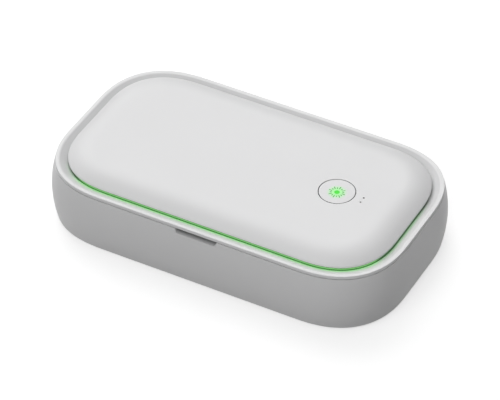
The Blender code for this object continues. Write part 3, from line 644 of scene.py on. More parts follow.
def plain_finishes():
    """The plain finishes: for each its kind, then what the kind's function takes."""
    own = colours()
    white, inner = own.case_white, own.inner_white
    return {
        "case_white": (plastic, "case_white_plastic", white),
        "inner_white": (plastic, "inner_white_plastic", inner, (0.42, 0.54), 5200.0, 0.000006, 0.025),
        "cover_white": (plastic, "cover_white_plastic", inner, (0.48, 0.60), 3800.0, 0.000010, 0.03, 0.25),
        "black_plastic": (
            plastic, "black_plastic_body", (0.028, 0.028, 0.030), (0.38, 0.52), 6000.0, 0.000005, 0.12, 0.12
        ),
        "grey_rubber": (
            plastic, "grey_rubber_soft", (0.16, 0.16, 0.165), (0.68, 0.85), 3000.0, 0.000014, 0.08, 0.30
        ),
        "seal_rubber": (
            plastic, "pale_silicone", (0.50, 0.51, 0.52), (0.52, 0.66), 4200.0, 0.000006, 0.05, 0.10
        ),
        "ceramic": (
            plastic, "lamp_ceramic_white", (0.80, 0.78, 0.70), (0.38, 0.50), 9000.0, 0.000003, 0.03
        ),
        "smoky_pipe": (plastic, "smoky_pipe", (0.020, 0.022, 0.022), (0.10, 0.20), 4000.0, 0.000002, 0.10),
        "sign_dot": (lit_plastic, "sign_dot_light", (0.02, 0.10, 0.015), own.sign_dot),
        "sign_rays": (lit_plastic, "sign_ray_light", (0.015, 0.13, 0.015), own.sign_rays),
        "lens_green": (lit_plastic, "lens_light", (0.45, 0.80, 0.45), (0.03, 0.16, 0.03)),
        "bright_metal": (
            metal, "bright_sheet", (0.86, 0.87, 0.89), (0.10, 0.22), (1.0, 14.0, 1.0), 0.000004, True
        ),
        "steel": (metal, "plated_steel", (0.56, 0.57, 0.59), (0.24, 0.36), (6.0, 1.0, 1.0), 0.000003),
        "nickel": (metal, "nickel_plate", (0.66, 0.64, 0.60), (0.16, 0.28), (1.0, 1.0, 1.0), 0.000002),
        "gold": (metal, "gold_contacts", (0.83, 0.62, 0.28), (0.20, 0.32), (1.0, 5.0, 1.0), 0.000002),
        "copper": (metal, "copper_wire", (0.72, 0.36, 0.20), (0.24, 0.38), (1.0, 1.0, 30.0), 0.000010),
        "quartz": (glass, "polished_quartz", (0.94, 0.97, 1.0), 1.46, (0.02, 0.06)),
        "board_green": (
            lacquer, "board_lacquer", 420.0, (0.055, 0.075), (0.010, 0.085, 0.035), (0.016, 0.110, 0.046),
            (0.035, 0.20, 0.075), (0.26, 0.40), 0.5
        ),
        "lamp_board": (
            lacquer, "lamp_board_lacquer", 300.0, (0.06, 0.09), (0.62, 0.64, 0.62), (0.68, 0.70, 0.68),
            (0.74, 0.75, 0.73), (0.34, 0.46), 0.4
        ),
    }


class Finishes:
    """The materials, each made when it is first asked for."""

    made = {}

    @classmethod
    def get(cls, name):
        if name not in cls.made:
            plain = plain_finishes()
            kind, *values = plain[name] if name in plain else (getattr(cls, name),)
            cls.made[name] = kind(*values)
        return cls.made[name]

    @staticmethod
    def base_white():
        """The case's plastic, with painted shade that darkens the back of the finger notch, under the lid's
        rim.
        """
        finish, tree, shader, spot, tone = skinned("base_white_plastic", colours().case_white)
        case = case_sizes()
        parts = put(tree, "SeparateXYZ", {"Vector": spot}).outputs
        front = side_inset(base_top) - half_width
        foot = base_top - case.notch_height
        end = case.notch_length / 2
        depth = ranged(tree, parts["Y"], front, front + 0.0026, 0.15, 1.0)
        level = ranged(tree, parts["Z"], foot - 0.0003, foot - 0.0001, 0.0, 1.0)
        middle = ranged(tree, maths(tree, "ABSOLUTE", parts["X"]), end + 0.0001, end + 0.0003, 1.0, 0.0)
        ahead = ranged(
            tree, parts["Y"], front + case.notch_depth, front + case.notch_depth + 0.0001, 1.0, 0.0
        )
        # painted shade: the notch's back and floor are darkened in the base colour, where the lid's rim
        # shades them
        painted_shade = times(tree, times(tree, depth, level), times(tree, middle, ahead))
        tree.links.new(mixed(tree, painted_shade, tone, (0.28, 0.28, 0.285, 1)), shader.inputs["Base Color"])
        return finish

    @staticmethod
    def rim_white():
        """The case's plastic, with the lit ring's green light on the rim's slope painted in as emission and
        a green tint, and painted shade on the slope away from the lit part.
        """
        finish, tree, shader, spot, tone = skinned("rim_white_plastic", colours().case_white)
        slope = put(tree, "Attribute", attribute_name="slope").outputs["Fac"]
        beside = put(tree, "Attribute", attribute_name="lit").outputs["Fac"]
        # painted light: the ring's green glow on the slope beside the lit part, as emission
        edge = times(tree, beside, ranged(tree, slope, 0.50, 1.0, 0.0, 1.0, True))
        lit(tree, shader, edge, colours().painted_rim_glow)
        # painted shade: the groove's slope is darker where the ring beside it is not lit
        painted_shade = mixed(tree, ranged(tree, slope, 0.03, 0.20, 0.0, 1.0, True), tone, (0.635, 0.635, 0.640, 1))
        # painted light: a green tint in the base colour on the slope beside the lit part
        bright = mixed(tree, ranged(tree, slope, 0.0, 0.6, 0.0, 1.0), tone, (0.74, 0.81, 0.73, 1))
        tree.links.new(mixed(tree, beside, painted_shade, bright), shader.inputs["Base Color"])
        return finish

    @staticmethod
    def lit_guide():
        """Milky plastic that glows green at the front; its glow is dimmed at its foot and along its top as
        painted shade of the gaps beside them.
        """
        finish, tree, shader, spot = new_finish("milky_guide")
        skin = use_group(tree, moulded_skin(), spot, grain=2500.0)
        share, parts = front_light(tree, spot)
        clear = mixed(tree, skin["Tone"], (0.13, 0.19, 0.13, 1), (0.15, 0.21, 0.15, 1))
        feed(tree, shader, {
            "Base Color": mixed(tree, share, clear, (0.055, 0.16, 0.055, 1)),
            "Roughness": ranged(tree, skin["Gloss"], 0, 1, 0.30, 0.42),
        })
        # painted shade: the glow is cut at the foot and at the top, where the gaps beside the ring lie in
        # shade
        foot = ranged(tree, parts["Z"], 0.0386, 0.0391, 0.14, 1.0, True)
        painted_crest_shade = ranged(tree, parts["Z"], 0.0392, 0.0395, 1.0, 0.15, True)
        lit(tree, shader, times(tree, share, times(tree, foot, painted_crest_shade)), colours().glow)
        bumped(tree, shader, skin["Height"], 0.4, 0.000004)
        return finish

    @staticmethod
    def cap_white():
        """The button's plastic: the sign's light is painted round the sign as emission and a green tint,
        and a dark band on the sides, a light-blocking layer, is also painted shade in the gap round the
        button."""
        finish, tree, shader, spot, tone = skinned("cap_white_plastic", colours().case_white)
        x, y = sign_place()
        centre = put(tree, "Mapping", {"Vector": spot, "Location": (-x, -y, -panel_top)}).outputs[0]
        away = put(tree, "VectorMath", {0: centre}, operation="LENGTH").outputs["Value"]
        # painted light: the sign's glow through the cap round it, as emission and a green tint in the base
        # colour
        halo = ranged(tree, away, 0.0068, 0.0022, 0.0, 1.0, True)
        lit(tree, shader, halo, colours().painted_sign_halo)
        painted_glow = mixed(tree, halo, tone, (0.44, 0.84, 0.40, 1))
        # painted shade: a dark band on the cap's sides, given as a light-blocking layer, darkens the gap
        # round the button
        depth = put(tree, "SeparateXYZ", {"Vector": centre}).outputs["Z"]
        painted_gap_shade = ranged(tree, depth, -0.00006, -0.00010, 0.0, 1.0)
        tree.links.new(mixed(tree, painted_gap_shade, painted_glow, (0.06, 0.06, 0.065, 1)), shader.inputs["Base Color"])
        return finish


def lit_plastic(name, colour, light):
    """Clear coloured plastic with a light behind it."""
    finish, tree, shader, spot = new_finish(name)
    skin = use_group(tree, moulded_skin(), spot, grain=3000.0)
    feed(tree, shader, {
        "Base Color": mixed(tree, skin["Tone"], shade(colour, 0.95), shade(colour, 1.05)),
        "Roughness": ranged(tree, skin["Gloss"], 0, 1, 0.34, 0.44),
        "Emission Color": mixed(tree, skin["Tone"], shade(light, 0.94), shade(light, 1.06)),
        "Emission Strength": 1.0,
        "Specular IOR Level": 0.25,
    })
    bumped(tree, shader, skin["Height"], 0.4, 0.000003)
    return finish


def lacquer(name, cells, edges, dark, light, raised, gloss, strength):
    """Circuit board lacquer over raised tracks, which run along the edges of random cells."""
    finish, tree, shader, spot = new_finish(name)
    pattern = put(tree, "TexVoronoi", {"Vector": spot, "Scale": cells}, feature="DISTANCE_TO_EDGE")
    track = ranged(tree, pattern.outputs["Distance"], *edges, 1.0, 0.0)
    skin = use_group(tree, moulded_skin(), spot, grain=3000.0)
    plain = mixed(tree, skin["Tone"], (*dark, 1), (*light, 1))
    feed(tree, shader, {
        "Base Color": mixed(tree, track, plain, (*raised, 1)),
        "Roughness": ranged(tree, skin["Gloss"], 0, 1, *gloss),
    })
    bumped(tree, shader, track, strength, 0.00003)
    return finish


def metal(name, colour, gloss, stretch, depth, dimpled=False):
    """Bare or plated metal: drawn lines, a little tarnish and fine scuffs."""
    finish, tree, shader, spot = new_finish(name)
    wear = use_group(tree, fine_wear(), spot, stretch=0.15)
    pulled = put(tree, "VectorMath", {0: spot, 1: stretch}, operation="MULTIPLY").outputs[0]
    lines = noise(tree, pulled, 2200.0, 3.0, 0.6)
    tone = mixed(tree, noise(tree, spot, 90.0, 3.0), shade(colour, 0.93), shade(colour, 1.05))
    rough = maths(tree, "ADD", ranged(tree, lines, 0.3, 0.7, *gloss), times(tree, wear["Scuffs"], 0.12))
    feed(tree, shader, {"Base Color": tone, "Roughness": rough, "Metallic": 1.0})
    if dimpled:
        cells = put(tree, "TexVoronoi", {"Vector": spot, "Scale": 330.0}, feature="SMOOTH_F1")
        lines = maths(tree, "ADD", times(tree, cells.outputs["Distance"], 9.0), times(tree, lines, 0.3))
    bumped(tree, shader, lines, 0.5, depth)
    return finish


def glass(name, colour, bend, gloss):
    """Clear glass or plastic with faint smears."""
    finish, tree, shader, spot = new_finish(name)
    smear = noise(tree, spot, 260.0, 3.0)
    feed(tree, shader, {
        "Base Color": mixed(tree, smear, shade(colour, 0.98), shade(colour, 1.0)),
        "Roughness": ranged(tree, smear, 0.35, 0.65, *gloss),
        "Transmission Weight": 1.0,
        "IOR": bend,
    })
    return finish


class PieceOperator(bpy.types.Operator):
    """Shared settings of the operators that build pieces."""

    bl_options = {"REGISTER", "UNDO"}


# Base


class STERILIZER_OT_base_shell(PieceOperator):
    """Build the outer wall with its notch, hinge knuckles and socket opening"""

    bl_idname = "sterilizer.base_shell"
    bl_label = "Base shell"

    def execute(self, context):
        case = case_sizes()
        foot = base_bottom + case.bottom_round
        centre = (side_inset(foot) + case.bottom_round, foot)
        section = arc(centre, case.bottom_round, -math.pi / 2, 0, 8)[:-1]
        section += side(foot, base_top - 2 * case.lip_round, 0, 26)
        land = base_top - case.lip_drop
        edge = side_inset(base_top)
        section += [
            (edge, base_top, case.lip_round), (edge + 0.0003, base_top, case.lip_round),
            (edge + 0.0003 + case.lip_drop, land, 0.0001), (edge + case.wall, land, 0.0003),
        ]
        section += side(land - 0.0006, tray_seat_top + 0.001, case.wall, 4)
        section += [
            (side_inset(tray_seat_top) + case.wall, tray_seat_top, 0.0003), (0.0062, tray_seat_top, 0.0002),
            (0.0062, tray_seat_top - 0.0013, 0.0002),
        ]
        section += side(tray_seat_top - 0.0037, cover_seat_high + 0.001, case.wall, 10)
        section += [
            (side_inset(cover_seat_high) + case.wall, cover_seat_high, 0.0004),
            (0.0120, cover_seat_high, 0.0002), (0.0120, cover_seat_low, 0.0002), (0.0080, cover_seat_low),
            (0.0080, base_bottom, 0.0002),
        ]
        shell = carried("case_shell", rounded(section), ring=True)
        start = hinge_half + clearance
        end = hinge_half + knuckle_length
        knuckles = [axle("knuckle", knuckle_radius, sign * start, sign * end, 0.0002) for sign in (-1, 1)]
        shaped(shell, [*knuckles, notch_backing()], "UNION")
        slot = block("slot", (-start, slot_front, slot_bottom), (start, half_width + past, base_top + past))
        shaped(shell, [slot, *hinge_bores(-0.0020, 0.0054), finger_notch(), socket_opening()])
        dress(shell, "base", "base_white", ["base_shell"], bevel=0.00012)
        return {"FINISHED"}


def hinge_bores(start, end):
    """The pins' bores on both sides, between two distances from the ends of the hinge's beam."""
    return [
        axle("bore", bore_radius, sign * (hinge_half + start), sign * (hinge_half + end))
        for sign in (-1, 1)
    ]


def notch_backing():
    """The thicker wall behind the notch, up to just below the rim's curved underside."""
    case = case_sizes()
    reach = case.notch_length / 2 + case.wall
    inner = notch_wall_inset - half_width
    top = hinge_axis.z + math.sqrt(notch_wall_swing ** 2 - (inner + hinge_axis.y) ** 2)
    outside = half_width - side_inset(base_top) - case.wall / 2
    return block("backing", (-reach, -outside, tray_flange_top + clearance), (reach, inner, top))


def finger_notch():
    """The notch's hollow: its floor is level, its ends lean out and its lower corners are round.

    Row i is a rectangle at the height h. Its half length grows evenly with h, less a quarter
    circle's radius - sqrt(radius ** 2 - (radius - h) ** 2) below the corner's radius.
    """
    case = case_sizes()
    foot = base_top - case.notch_height
    front = side_inset(foot) - half_width
    turn = np.linspace(0, math.pi / 2, 9)
    rise = np.concatenate([case.notch_round * (1 - np.cos(turn)), [case.notch_height + 0.002]])
    share = rise / case.notch_height
    below = np.clip(case.notch_round - rise, 0, None)
    reach = case.notch_length / 2 * (1 - notch_taper + notch_taper * share)
    reach -= case.notch_round - np.sqrt(case.notch_round ** 2 - below ** 2)
    depth = np.full_like(rise, front + case.notch_depth)
    outside = np.full_like(rise, front - 0.004)
    corners_x = np.stack([-reach, reach, reach, -reach], axis=1)
    corners_y = np.stack([depth, depth, outside, outside], axis=1)
    heights = np.broadcast_to((foot + rise)[:, None], corners_x.shape)
    points = np.stack([corners_x, corners_y, heights], axis=2)
    faces = grid_faces(len(rise), 4, False).tolist()
    faces += [[0, 1, 2, 3], list(range(4 * len(rise) - 4, 4 * len(rise)))]
    return new_piece("notch", points, faces)


def along_y(level, depth):
    """Stands a flat shape up so that it faces the rear, at a level and a place along Y."""
    return Matrix.Translation((0, depth, level)) @ Matrix.Rotation(-math.pi / 2, 4, "X")


def socket_middle():
    return (low("usb_socket").z + high("usb_socket").z) / 2


def socket_opening():
    """The opening round the power socket: a slot with round ends through the rear wall."""
    half = (high("usb_socket") - low("usb_socket")) / 2
    shape = box_shape(half.x + clearance, half.z + clearance, half.z + clearance, 8)
    return carried("opening", upright(0, 0.020), shape, turn=along_y(socket_middle(), half_width - 0.016))


class STERILIZER_OT_underside(PieceOperator):
    """Build the bottom cover, the feet and the screws above them"""

    bl_idname = "sterilizer.underside"
    bl_label = "Underside"

    def execute(self, context):
        inset = 0.0083
        section = rounded([
            (inset + 0.001, base_bottom), (inset, base_bottom, 0.0003), (inset, cover_top, 0.0002),
            (inset + 0.001, cover_top),
        ])
        cover = carried("under_cover", section)
        bosses = [
            rod("boss", screw_boss, cover_top - 0.0005, cover_top + 0.0022, place)
            for place in foot_places
        ]
        posts = [
            rod("post", 0.0020, cover_top - 0.0005, cover_seat_high, (x, y))
            for x in (-0.0300, 0.0300)
            for y in (0.0150, 0.0522)
        ]
        shaped(cover, bosses + posts, "UNION")
        pockets = []
        for place in foot_places:
            pockets.append(rod(
                "foot_pocket", 0.0063, base_bottom - 0.002, base_bottom + 0.0010, place, steps=16
            ))
            pockets.append(rod(
                "head_pocket", head_pocket, base_bottom - 0.002, base_bottom + 0.0026, place
            ))
            pockets.append(rod("shank_hole", screw_hole, base_bottom - 0.002, cover_top + 0.004, place))
        shaped(cover, pockets)
        dress(cover, "base", "cover_white", ["bottom_cover"], bevel=0.0001)
        for name in ("front_left", "front_right", "rear_left", "rear_right"):
            node = "foot_" + name
            middle = middle_of(node)
            radius = half_across(node)
            rise = high(node).z
            profile = rounded([
                (0.0016, 0.00015), (0.0013, 0.00015, 0.0001), (0.0012, 0, 0.0001), (0, 0, 0.0004),
                (0, rise, 0.0001), (0.001, rise),
            ])
            foot = carried("pad_" + name, profile, round_shape(radius, 16), place=(middle.x, middle.y, 0))
            dress(foot, "base", "grey_rubber", [node])
            screw_piece("base", "base_screw_" + name, "cover_screw_" + name)
        return {"FINISHED"}


def screw_piece(body, node, name):
    """A round headed screw, head down, with a cross recess and a ridged shank.

    The shank's inset follows a row of triangles, one for each turn of its thread.
    """
    lowest = low(node)
    highest = high(node)
    radius = (highest.x - lowest.x) / 2
    place = ((highest.x + lowest.x) / 2, (highest.y + lowest.y) / 2)
    seat = lowest.z + 0.0013
    shank = 0.00125
    ridges = 10
    heights = np.linspace(seat + 0.0003, highest.z - 0.0007, 2 * ridges + 1)
    depths = radius - shank + 0.00022 * (np.arange(2 * ridges + 1) % 2)
    head = rounded([(0.001, lowest.z), (0, lowest.z, 0.0005), (0, seat, 0.0001), (radius - shank, seat)])
    section = [*head, *zip(depths, heights), (radius - 0.00065, highest.z)]
    screw = carried(name, section, round_shape(radius, 8), place=(*place, 0))
    x, y = place
    cross = [
        block("slot", (x - across, y - along, lowest.z - 0.001), (x + across, y + along, lowest.z + 0.0008))
        for across, along in ((0.0011, 0.00022), (0.00022, 0.0011))
    ]
    shaped(screw, cross)
    dress(screw, body, "steel", [node])


def lamp_seats(plate, back, toward):
    """Open a plate for two lamps with stepped seats, and give it bosses for their boards."""
    face = back + toward * 0.0042
    bosses = []
    cuts = []
    for x in (-lamp_x, lamp_x):
        for offset in (-0.0080, 0.0080):
            place = (x + offset, 0)
            bosses.append(rod(
                "boss", 0.0015, back - toward * 0.0006, back + toward * 0.0005, place, steps=8
            ))
        cuts.append(rod("seat", 0.0063, back + toward * 0.0008, face, (x, 0), steps=20))
        cuts.append(rod("opening", 0.0048, back - toward * 0.0020, face, (x, 0), steps=20))
    shaped(plate, bosses, "UNION")
    shaped(plate, cuts)


class STERILIZER_OT_chamber(PieceOperator):
    """Build the chamber's floor, wall, bright plate and light seal"""

    bl_idname = "sterilizer.chamber"
    bl_label = "Chamber"

    def execute(self, context):
        bottom = floor_top - 0.0022
        edge = 0.0174
        section = rounded([
            (edge + 0.004, bottom), (edge + 0.0015, bottom, 0.0004), (edge, bottom + 0.0015, 0.0004),
            (edge, floor_top, 0.0001), (edge + 0.001, floor_top),
        ])
        plate = carried("chamber_floor", section)
        posts = [
            rod("post", screw_boss, cover_top + 0.0025, bottom + 0.0005, place)
            for place in foot_places
        ]
        shaped(plate, posts, "UNION")
        shaped(plate, [rod("hole", screw_hole, cover_top, bottom + 0.0001, place) for place in foot_places])
        lamp_seats(plate, bottom, 1)
        dress(plate, "base", "inner_white", ["floor_plate"])

        foot = floor_top + clearance
        flange = tray_flange_top - 0.0020
        edge = side_inset(base_top) + case_sizes().wall + clearance
        groove = seal_inset - clearance
        groove_end = seal_inset + seal_width + clearance
        groove_floor = tray_flange_top - 0.0010
        section = rounded([
            (0.0174, foot), (0.0162, flange, 0.0004), (edge, flange, 0.0003),
            (edge, tray_flange_top, 0.0003), (groove, tray_flange_top, 0.0001),
            (groove, groove_floor, 0.0002), (groove_end, groove_floor, 0.0002),
            (groove_end, tray_flange_top, 0.0001), (0.0180, tray_flange_top, 0.0005),
            (0.01812, tray_flange_top - 0.002), (0.0192, foot),
        ])
        wall = carried("chamber_side", section, ring=True)
        bosses = [rod("boss", 0.0032, flange - 0.0024, flange + 0.0005, place) for place in magnet_places]
        shaped(wall, bosses, "UNION")
        cuts = [rod("pocket", magnet_pocket, flange - 0.0050, flange, place) for place in magnet_places]
        gap = 0.0489
        cuts.append(block(
            "gap", (-gap, slot_front, flange - 0.002), (gap, half_width + 0.002, tray_flange_top + 0.002)
        ))
        shaped(wall, cuts)
        dress(wall, "base", "inner_white", ["chamber_wall"], bevel=0.0001)

        mirror_plate("floor_mirror", "base", "chamber_reflector", 0.0207)
        start = low("light_seal").z
        end = high("light_seal").z
        middle = seal_inset + seal_width / 2
        section = rounded([
            (seal_inset, start, 0.0001), (seal_inset, end - 0.0003, 0.0002), (middle, end, 0.0004),
            (seal_inset + seal_width, end - 0.0003, 0.0002), (seal_inset + seal_width, start, 0.0001),
        ])
        seal = carried("seal_ring", section, ring=True)
        dress(seal, "base", "seal_rubber", ["light_seal"])
        return {"FINISHED"}


def mirror_plate(name, body, node, inset):
    """A thin bright plate with rolled edges and two round openings."""
    start = low(node).z
    end = high(node).z
    section = rounded([
        (inset + 0.001, start), (inset, start, 0.0002), (inset, end, 0.00025), (inset + 0.001, end),
    ])
    plate = carried(name, section)
    shaped(
        plate,
        [rod("hole", 0.0057, start - 0.001, end + 0.001, (x, 0), steps=20) for x in (-lamp_x, lamp_x)]
    )
    dress(plate, body, "bright_metal", [node], bevel=0.00012)


class STERILIZER_OT_lamps(PieceOperator):
    """Build the ultraviolet lamps with their windows and boards, in the floor and in the lid"""

    bl_idname = "sterilizer.lamps"
    bl_label = "Ultraviolet lamps"

    def execute(self, context):
        for body, prefix in (("base", "base"), ("lid", "lid")):
            toward = 1 if prefix == "base" else -1
            for side_name in ("left", "right"):
                self.build_lamp(body, prefix, side_name, toward)
        return {"FINISHED"}

    def build_lamp(self, body, prefix, side_name, toward):
        """One lamp: window, ceramic body with a lens and a frame, and its board with pads."""
        end = "_" + side_name
        window = prefix + "_window" + end
        middle = middle_of(window)
        radius = half_across(window)
        place = (middle.x, middle.y)
        pane = rod(prefix + "_pane" + end, radius, low(window).z, high(window).z, place, 0.00015, 20)
        dress(pane, body, "quartz", [window])

        led = prefix + "_uv_led" + end
        back, front = (low(led).z, high(led).z) if toward > 0 else (high(led).z, low(led).z)
        shoulder = front - toward * 0.0005
        half = half_across(led)
        near = (middle.x - half, -half, back)
        package = block(
            prefix + "_lamp_body" + end, near, (middle.x + half, half, shoulder), 0.0003, 0.0001
        )
        bed = shoulder - toward * 0.00025
        shaped(package, [rod("well", 0.00135, bed, shoulder + toward * 0.001, place)])
        dress(package, body, "ceramic", [led])
        lens = rod(prefix + "_lamp_lens" + end, 0.0013, bed, front, place, 0.0002)
        dress(lens, body, "quartz")

        board = prefix + "_uv_board" + end
        plate = block(prefix + "_lamp_plate" + end, low(board), high(board), 0.0012, 0.0001)
        hole_low = low(board).z - 0.001
        hole_high = high(board).z + 0.001
        shaped(
            plate,
            [
                rod("hole", 0.0008, hole_low, hole_high, (middle.x + x, y), steps=6)
                for x, y in ((-0.0085, 0.0044), (0.0085, -0.0044))
            ]
        )
        dress(plate, body, "lamp_board", [board])
        face = high(board).z if toward > 0 else low(board).z
        pads = []
        for x in (-0.0048, 0.0048):
            for y in (-0.0036, 0.0036):
                near = (middle.x + x - 0.0009, y - 0.0007, face)
                pads.append(block(
                    "pad", near, (middle.x + x + 0.0009, y + 0.0007, face + toward * 0.00008), 0.0002
                ))
        dress(merged(prefix + "_lamp_pads" + end, pads), body, "gold")


class STERILIZER_OT_power(PieceOperator):
    """Build the main board with its parts, the power socket and the lid sensor"""

    bl_idname = "sterilizer.power"
    bl_label = "Main board and socket"

    def execute(self, context):
        near = low("main_board")
        far = high("main_board")
        board = block("control_board", near, far, 0.0015, 0.0001)
        holes = [
            rod("hole", 0.0011, near.z - 0.001, far.z + 0.001, (x, y), steps=8)
            for x in (-0.0320, 0.0320)
            for y in (near.y + 0.003, far.y - 0.003)
        ]
        shaped(board, holes)
        dress(board, "base", "board_green", ["main_board"])

        chip_low = low("controller_chip")
        chip_high = high("controller_chip")
        leg_reach = Vector((0, 0.0008, 0))
        chip = block("control_chip", chip_low + leg_reach, chip_high - leg_reach, 0.0003, 0.00012)
        dress(chip, "base", "black_plastic", ["controller_chip"])
        legs = []
        level = chip_low.z + 0.00002
        for x in np.linspace(chip_low.x + 0.0007, chip_high.x - 0.0007, 8):
            for y0, y1 in ((chip_low.y, chip_low.y + 0.0010), (chip_high.y - 0.0010, chip_high.y)):
                legs.append(block(
                    "leg", (x - 0.00016, y0, level), (x + 0.00016, y1, chip_low.z + 0.00022), 0.00005
                ))
        dress(merged("control_chip_legs", legs), "base", "steel")

        node = "power_inductor"
        middle = middle_of(node)
        radius = half_across(node)
        start = low(node).z
        end = high(node).z
        section = rounded([
            (0.001, start), (0, start, 0.0001), (0, start + 0.0003, 0.0001),
            (0.0007, start + 0.0004, 0.0001), (0.0007, end - 0.0004, 0.0001), (0, end - 0.0003, 0.0001),
            (0, end, 0.0001), (0.001, end),
        ])
        coil = carried("coil_core", section, round_shape(radius, 16), place=(middle.x, middle.y, 0))
        dress(coil, "base", "black_plastic", [node])
        ends = (start + 0.00045, end - 0.00045)
        wire_section = rounded([(0.0003, ends[0]), (0.0003, ends[1]), (0.0009, ends[1]), (0.0009, ends[0])])
        wire = carried(
            "coil_winding", wire_section, round_shape(radius, 16), ring=True, place=(middle.x, middle.y, 0)
        )
        dress(wire, "base", "copper")

        parts = []
        terminals = []
        for number, (x, y) in enumerate(part_places()):
            length, width = (0.0016, 0.0008) if number % 3 else (0.0024, 0.0013)
            level = far.z + 0.00003
            top = level + (0.0006 if number % 2 else 0.0009)
            for made, inner, outer in (
                (parts, -0.32, 0.32), (terminals, -0.5, -0.32), (terminals, 0.32, 0.5)
            ):
                near = (x + length * inner, y - width / 2, level)
                made.append(block("part", near, (x + length * outer, y + width / 2, top), 0.0001, 0.00005))
        dress(merged("board_parts", parts), "base", "black_plastic")
        dress(merged("board_terminals", terminals), "base", "nickel")
        self.build_socket()
        sensor = "lid_sensor"
        body = block("sensor_body", low(sensor), high(sensor), 0.0003, 0.00012)
        dress(body, "base", "black_plastic", [sensor])
        return {"FINISHED"}

    def build_socket(self):
        """The socket: a flattened sleeve with rolled lips, and a tongue with contacts inside."""
        node = "usb_socket"
        near = low(node)
        far = high(node)
        half = (far - near) / 2
        level = socket_middle()
        length = far.y - near.y
        shape = box_shape(half.x, half.z, half.z, 10)
        section = rounded([
            (0.0010, 0), (0, 0, 0.0002), (0, length, 0.0001), (0.0003, length, 0.0001), (0.0003, 0.0012),
            (0.0010, 0.0012),
        ])
        sleeve = carried("socket_sleeve", section, shape, turn=along_y(level, near.y))
        dress(sleeve, "base", "steel", [node])
        tongue_near = (-0.00335, near.y + 0.0012, level - 0.00035)
        tongue_far = (0.00335, far.y - 0.0007, level + 0.00035)
        tongue = block("socket_tongue", tongue_near, tongue_far, 0.0003, 0.0001)
        dress(tongue, "base", "black_plastic")
        contacts = []
        for x in np.linspace(-0.00275, 0.00275, 12):
            for z0, z1 in ((level + 0.00035, level + 0.00039), (level - 0.00039, level - 0.00035)):
                contacts.append(block(
                    "contact", (x - 0.00012, near.y + 0.0014, z0), (x + 0.00012, far.y - 0.0010, z1),
                    0.00003
                ))
        dress(merged("socket_contacts", contacts), "base", "gold")


def part_places():
    """Places of the small parts on the main board: a jittered grid that leaves the big parts clear."""
    near = low("main_board")
    far = high("main_board")
    draw = np.random.default_rng(7)
    x, y = np.meshgrid(
        np.linspace(near.x + 0.006, far.x - 0.006, 13), np.linspace(near.y + 0.004, far.y - 0.012, 8)
    )
    spots = np.stack([x.ravel(), y.ravel()], axis=1)
    spots += draw.uniform(-0.0009, 0.0009, spots.shape)
    middles = [middle_of(n) for n in ("controller_chip", "power_inductor", "usb_socket")]
    clear = np.ones(len(spots), bool)
    for middle in middles:
        clear &= np.hypot(spots[:, 0] - middle.x, spots[:, 1] - middle.y) > 0.0075
    keep = draw.random(len(spots)) < 0.6
    return spots[clear & keep].tolist()


class STERILIZER_OT_hinge_and_magnets(PieceOperator):
    """Build the hinge pins and the magnets of the base and the lid"""

    bl_idname = "sterilizer.hinge_and_magnets"
    bl_label = "Hinge pins and magnets"

    def execute(self, context):
        for side_name in ("left", "right"):
            node = "hinge_pin_" + side_name
            pin = axle("pin_" + side_name, 0.0010, low(node).x, high(node).x, 0.0003)
            dress(pin, "base", "steel", [node])
            for body, prefix in (("base", "base_magnet_"), ("lid", "lid_magnet_")):
                node = prefix + side_name
                middle = middle_of(node)
                name = prefix.replace("magnet", "disc") + side_name
                disc = rod(name, 0.0020, low(node).z, high(node).z, (middle.x, middle.y), 0.0002)
                dress(disc, body, "nickel", [node])
        return {"FINISHED"}


# Lid


class STERILIZER_OT_lid_frame(PieceOperator):
    """Build the lid's rim with its slope, groove and hinge beam"""

    bl_idname = "sterilizer.lid_frame"
    bl_label = "Lid frame"

    def execute(self, context):
        case = case_sizes()
        lid = lid_sizes()
        underside = base_top + 0.00035
        inset = half_width - hinge_axis.y
        skirt = math.acos((frame_bottom - hinge_axis.z) / swing_radius)
        turn = np.linspace(skirt, 0, 13)
        under = list(zip(inset + swing_radius * np.sin(turn), hinge_axis.z + swing_radius * np.cos(turn)))
        land = side_inset(rim_top) + lid.land_width
        section = [
            (side_inset(underside), underside, 0.00025), *side(underside + 0.0004, rim_top - 0.0003, 0, 6),
            (side_inset(rim_top), rim_top, 0.00015), (land, rim_top, 0.0006),
            *zip(np.linspace(land, slope_inner, 9)[1:-1], np.linspace(rim_top, slope_foot, 9)[1:-1]),
            (slope_inner, slope_foot, 0.00015), (slope_inner, shelf_top, 0.0002),
            (shelf_inset, shelf_top, 0.0001), (shelf_inset, frame_bottom, 0.0001), *under,
        ]
        rim = carried("lid_rim", rounded(section), ring=True)
        shaped(rim, [hinge_beam()], "UNION")
        shaped(rim, hinge_bores(-0.0051, 0.0020))
        add_spill(rim)
        dress(rim, "lid", "rim_white", ["lid_frame"])
        return {"FINISHED"}


def hinge_beam():
    """The bar that joins the rim to the hinge: a half circle below the axis, drawn in above it."""
    angles = np.linspace(-math.pi, 0, 17)
    across = np.concatenate([beam_radius * np.cos(angles), [0.0010, -0.0013]])
    up = np.concatenate([beam_radius * np.sin(angles), [0.0060, 0.0060]])
    count = len(across)
    ends = np.array([-hinge_half, hinge_half])[:, None]
    points = np.stack(np.broadcast_arrays(ends, hinge_axis.y + across, hinge_axis.z + up), axis=2)
    faces = grid_faces(2, count, False).tolist()
    faces += [list(range(count)), list(range(count, 2 * count))]
    return new_piece("beam", points, faces)


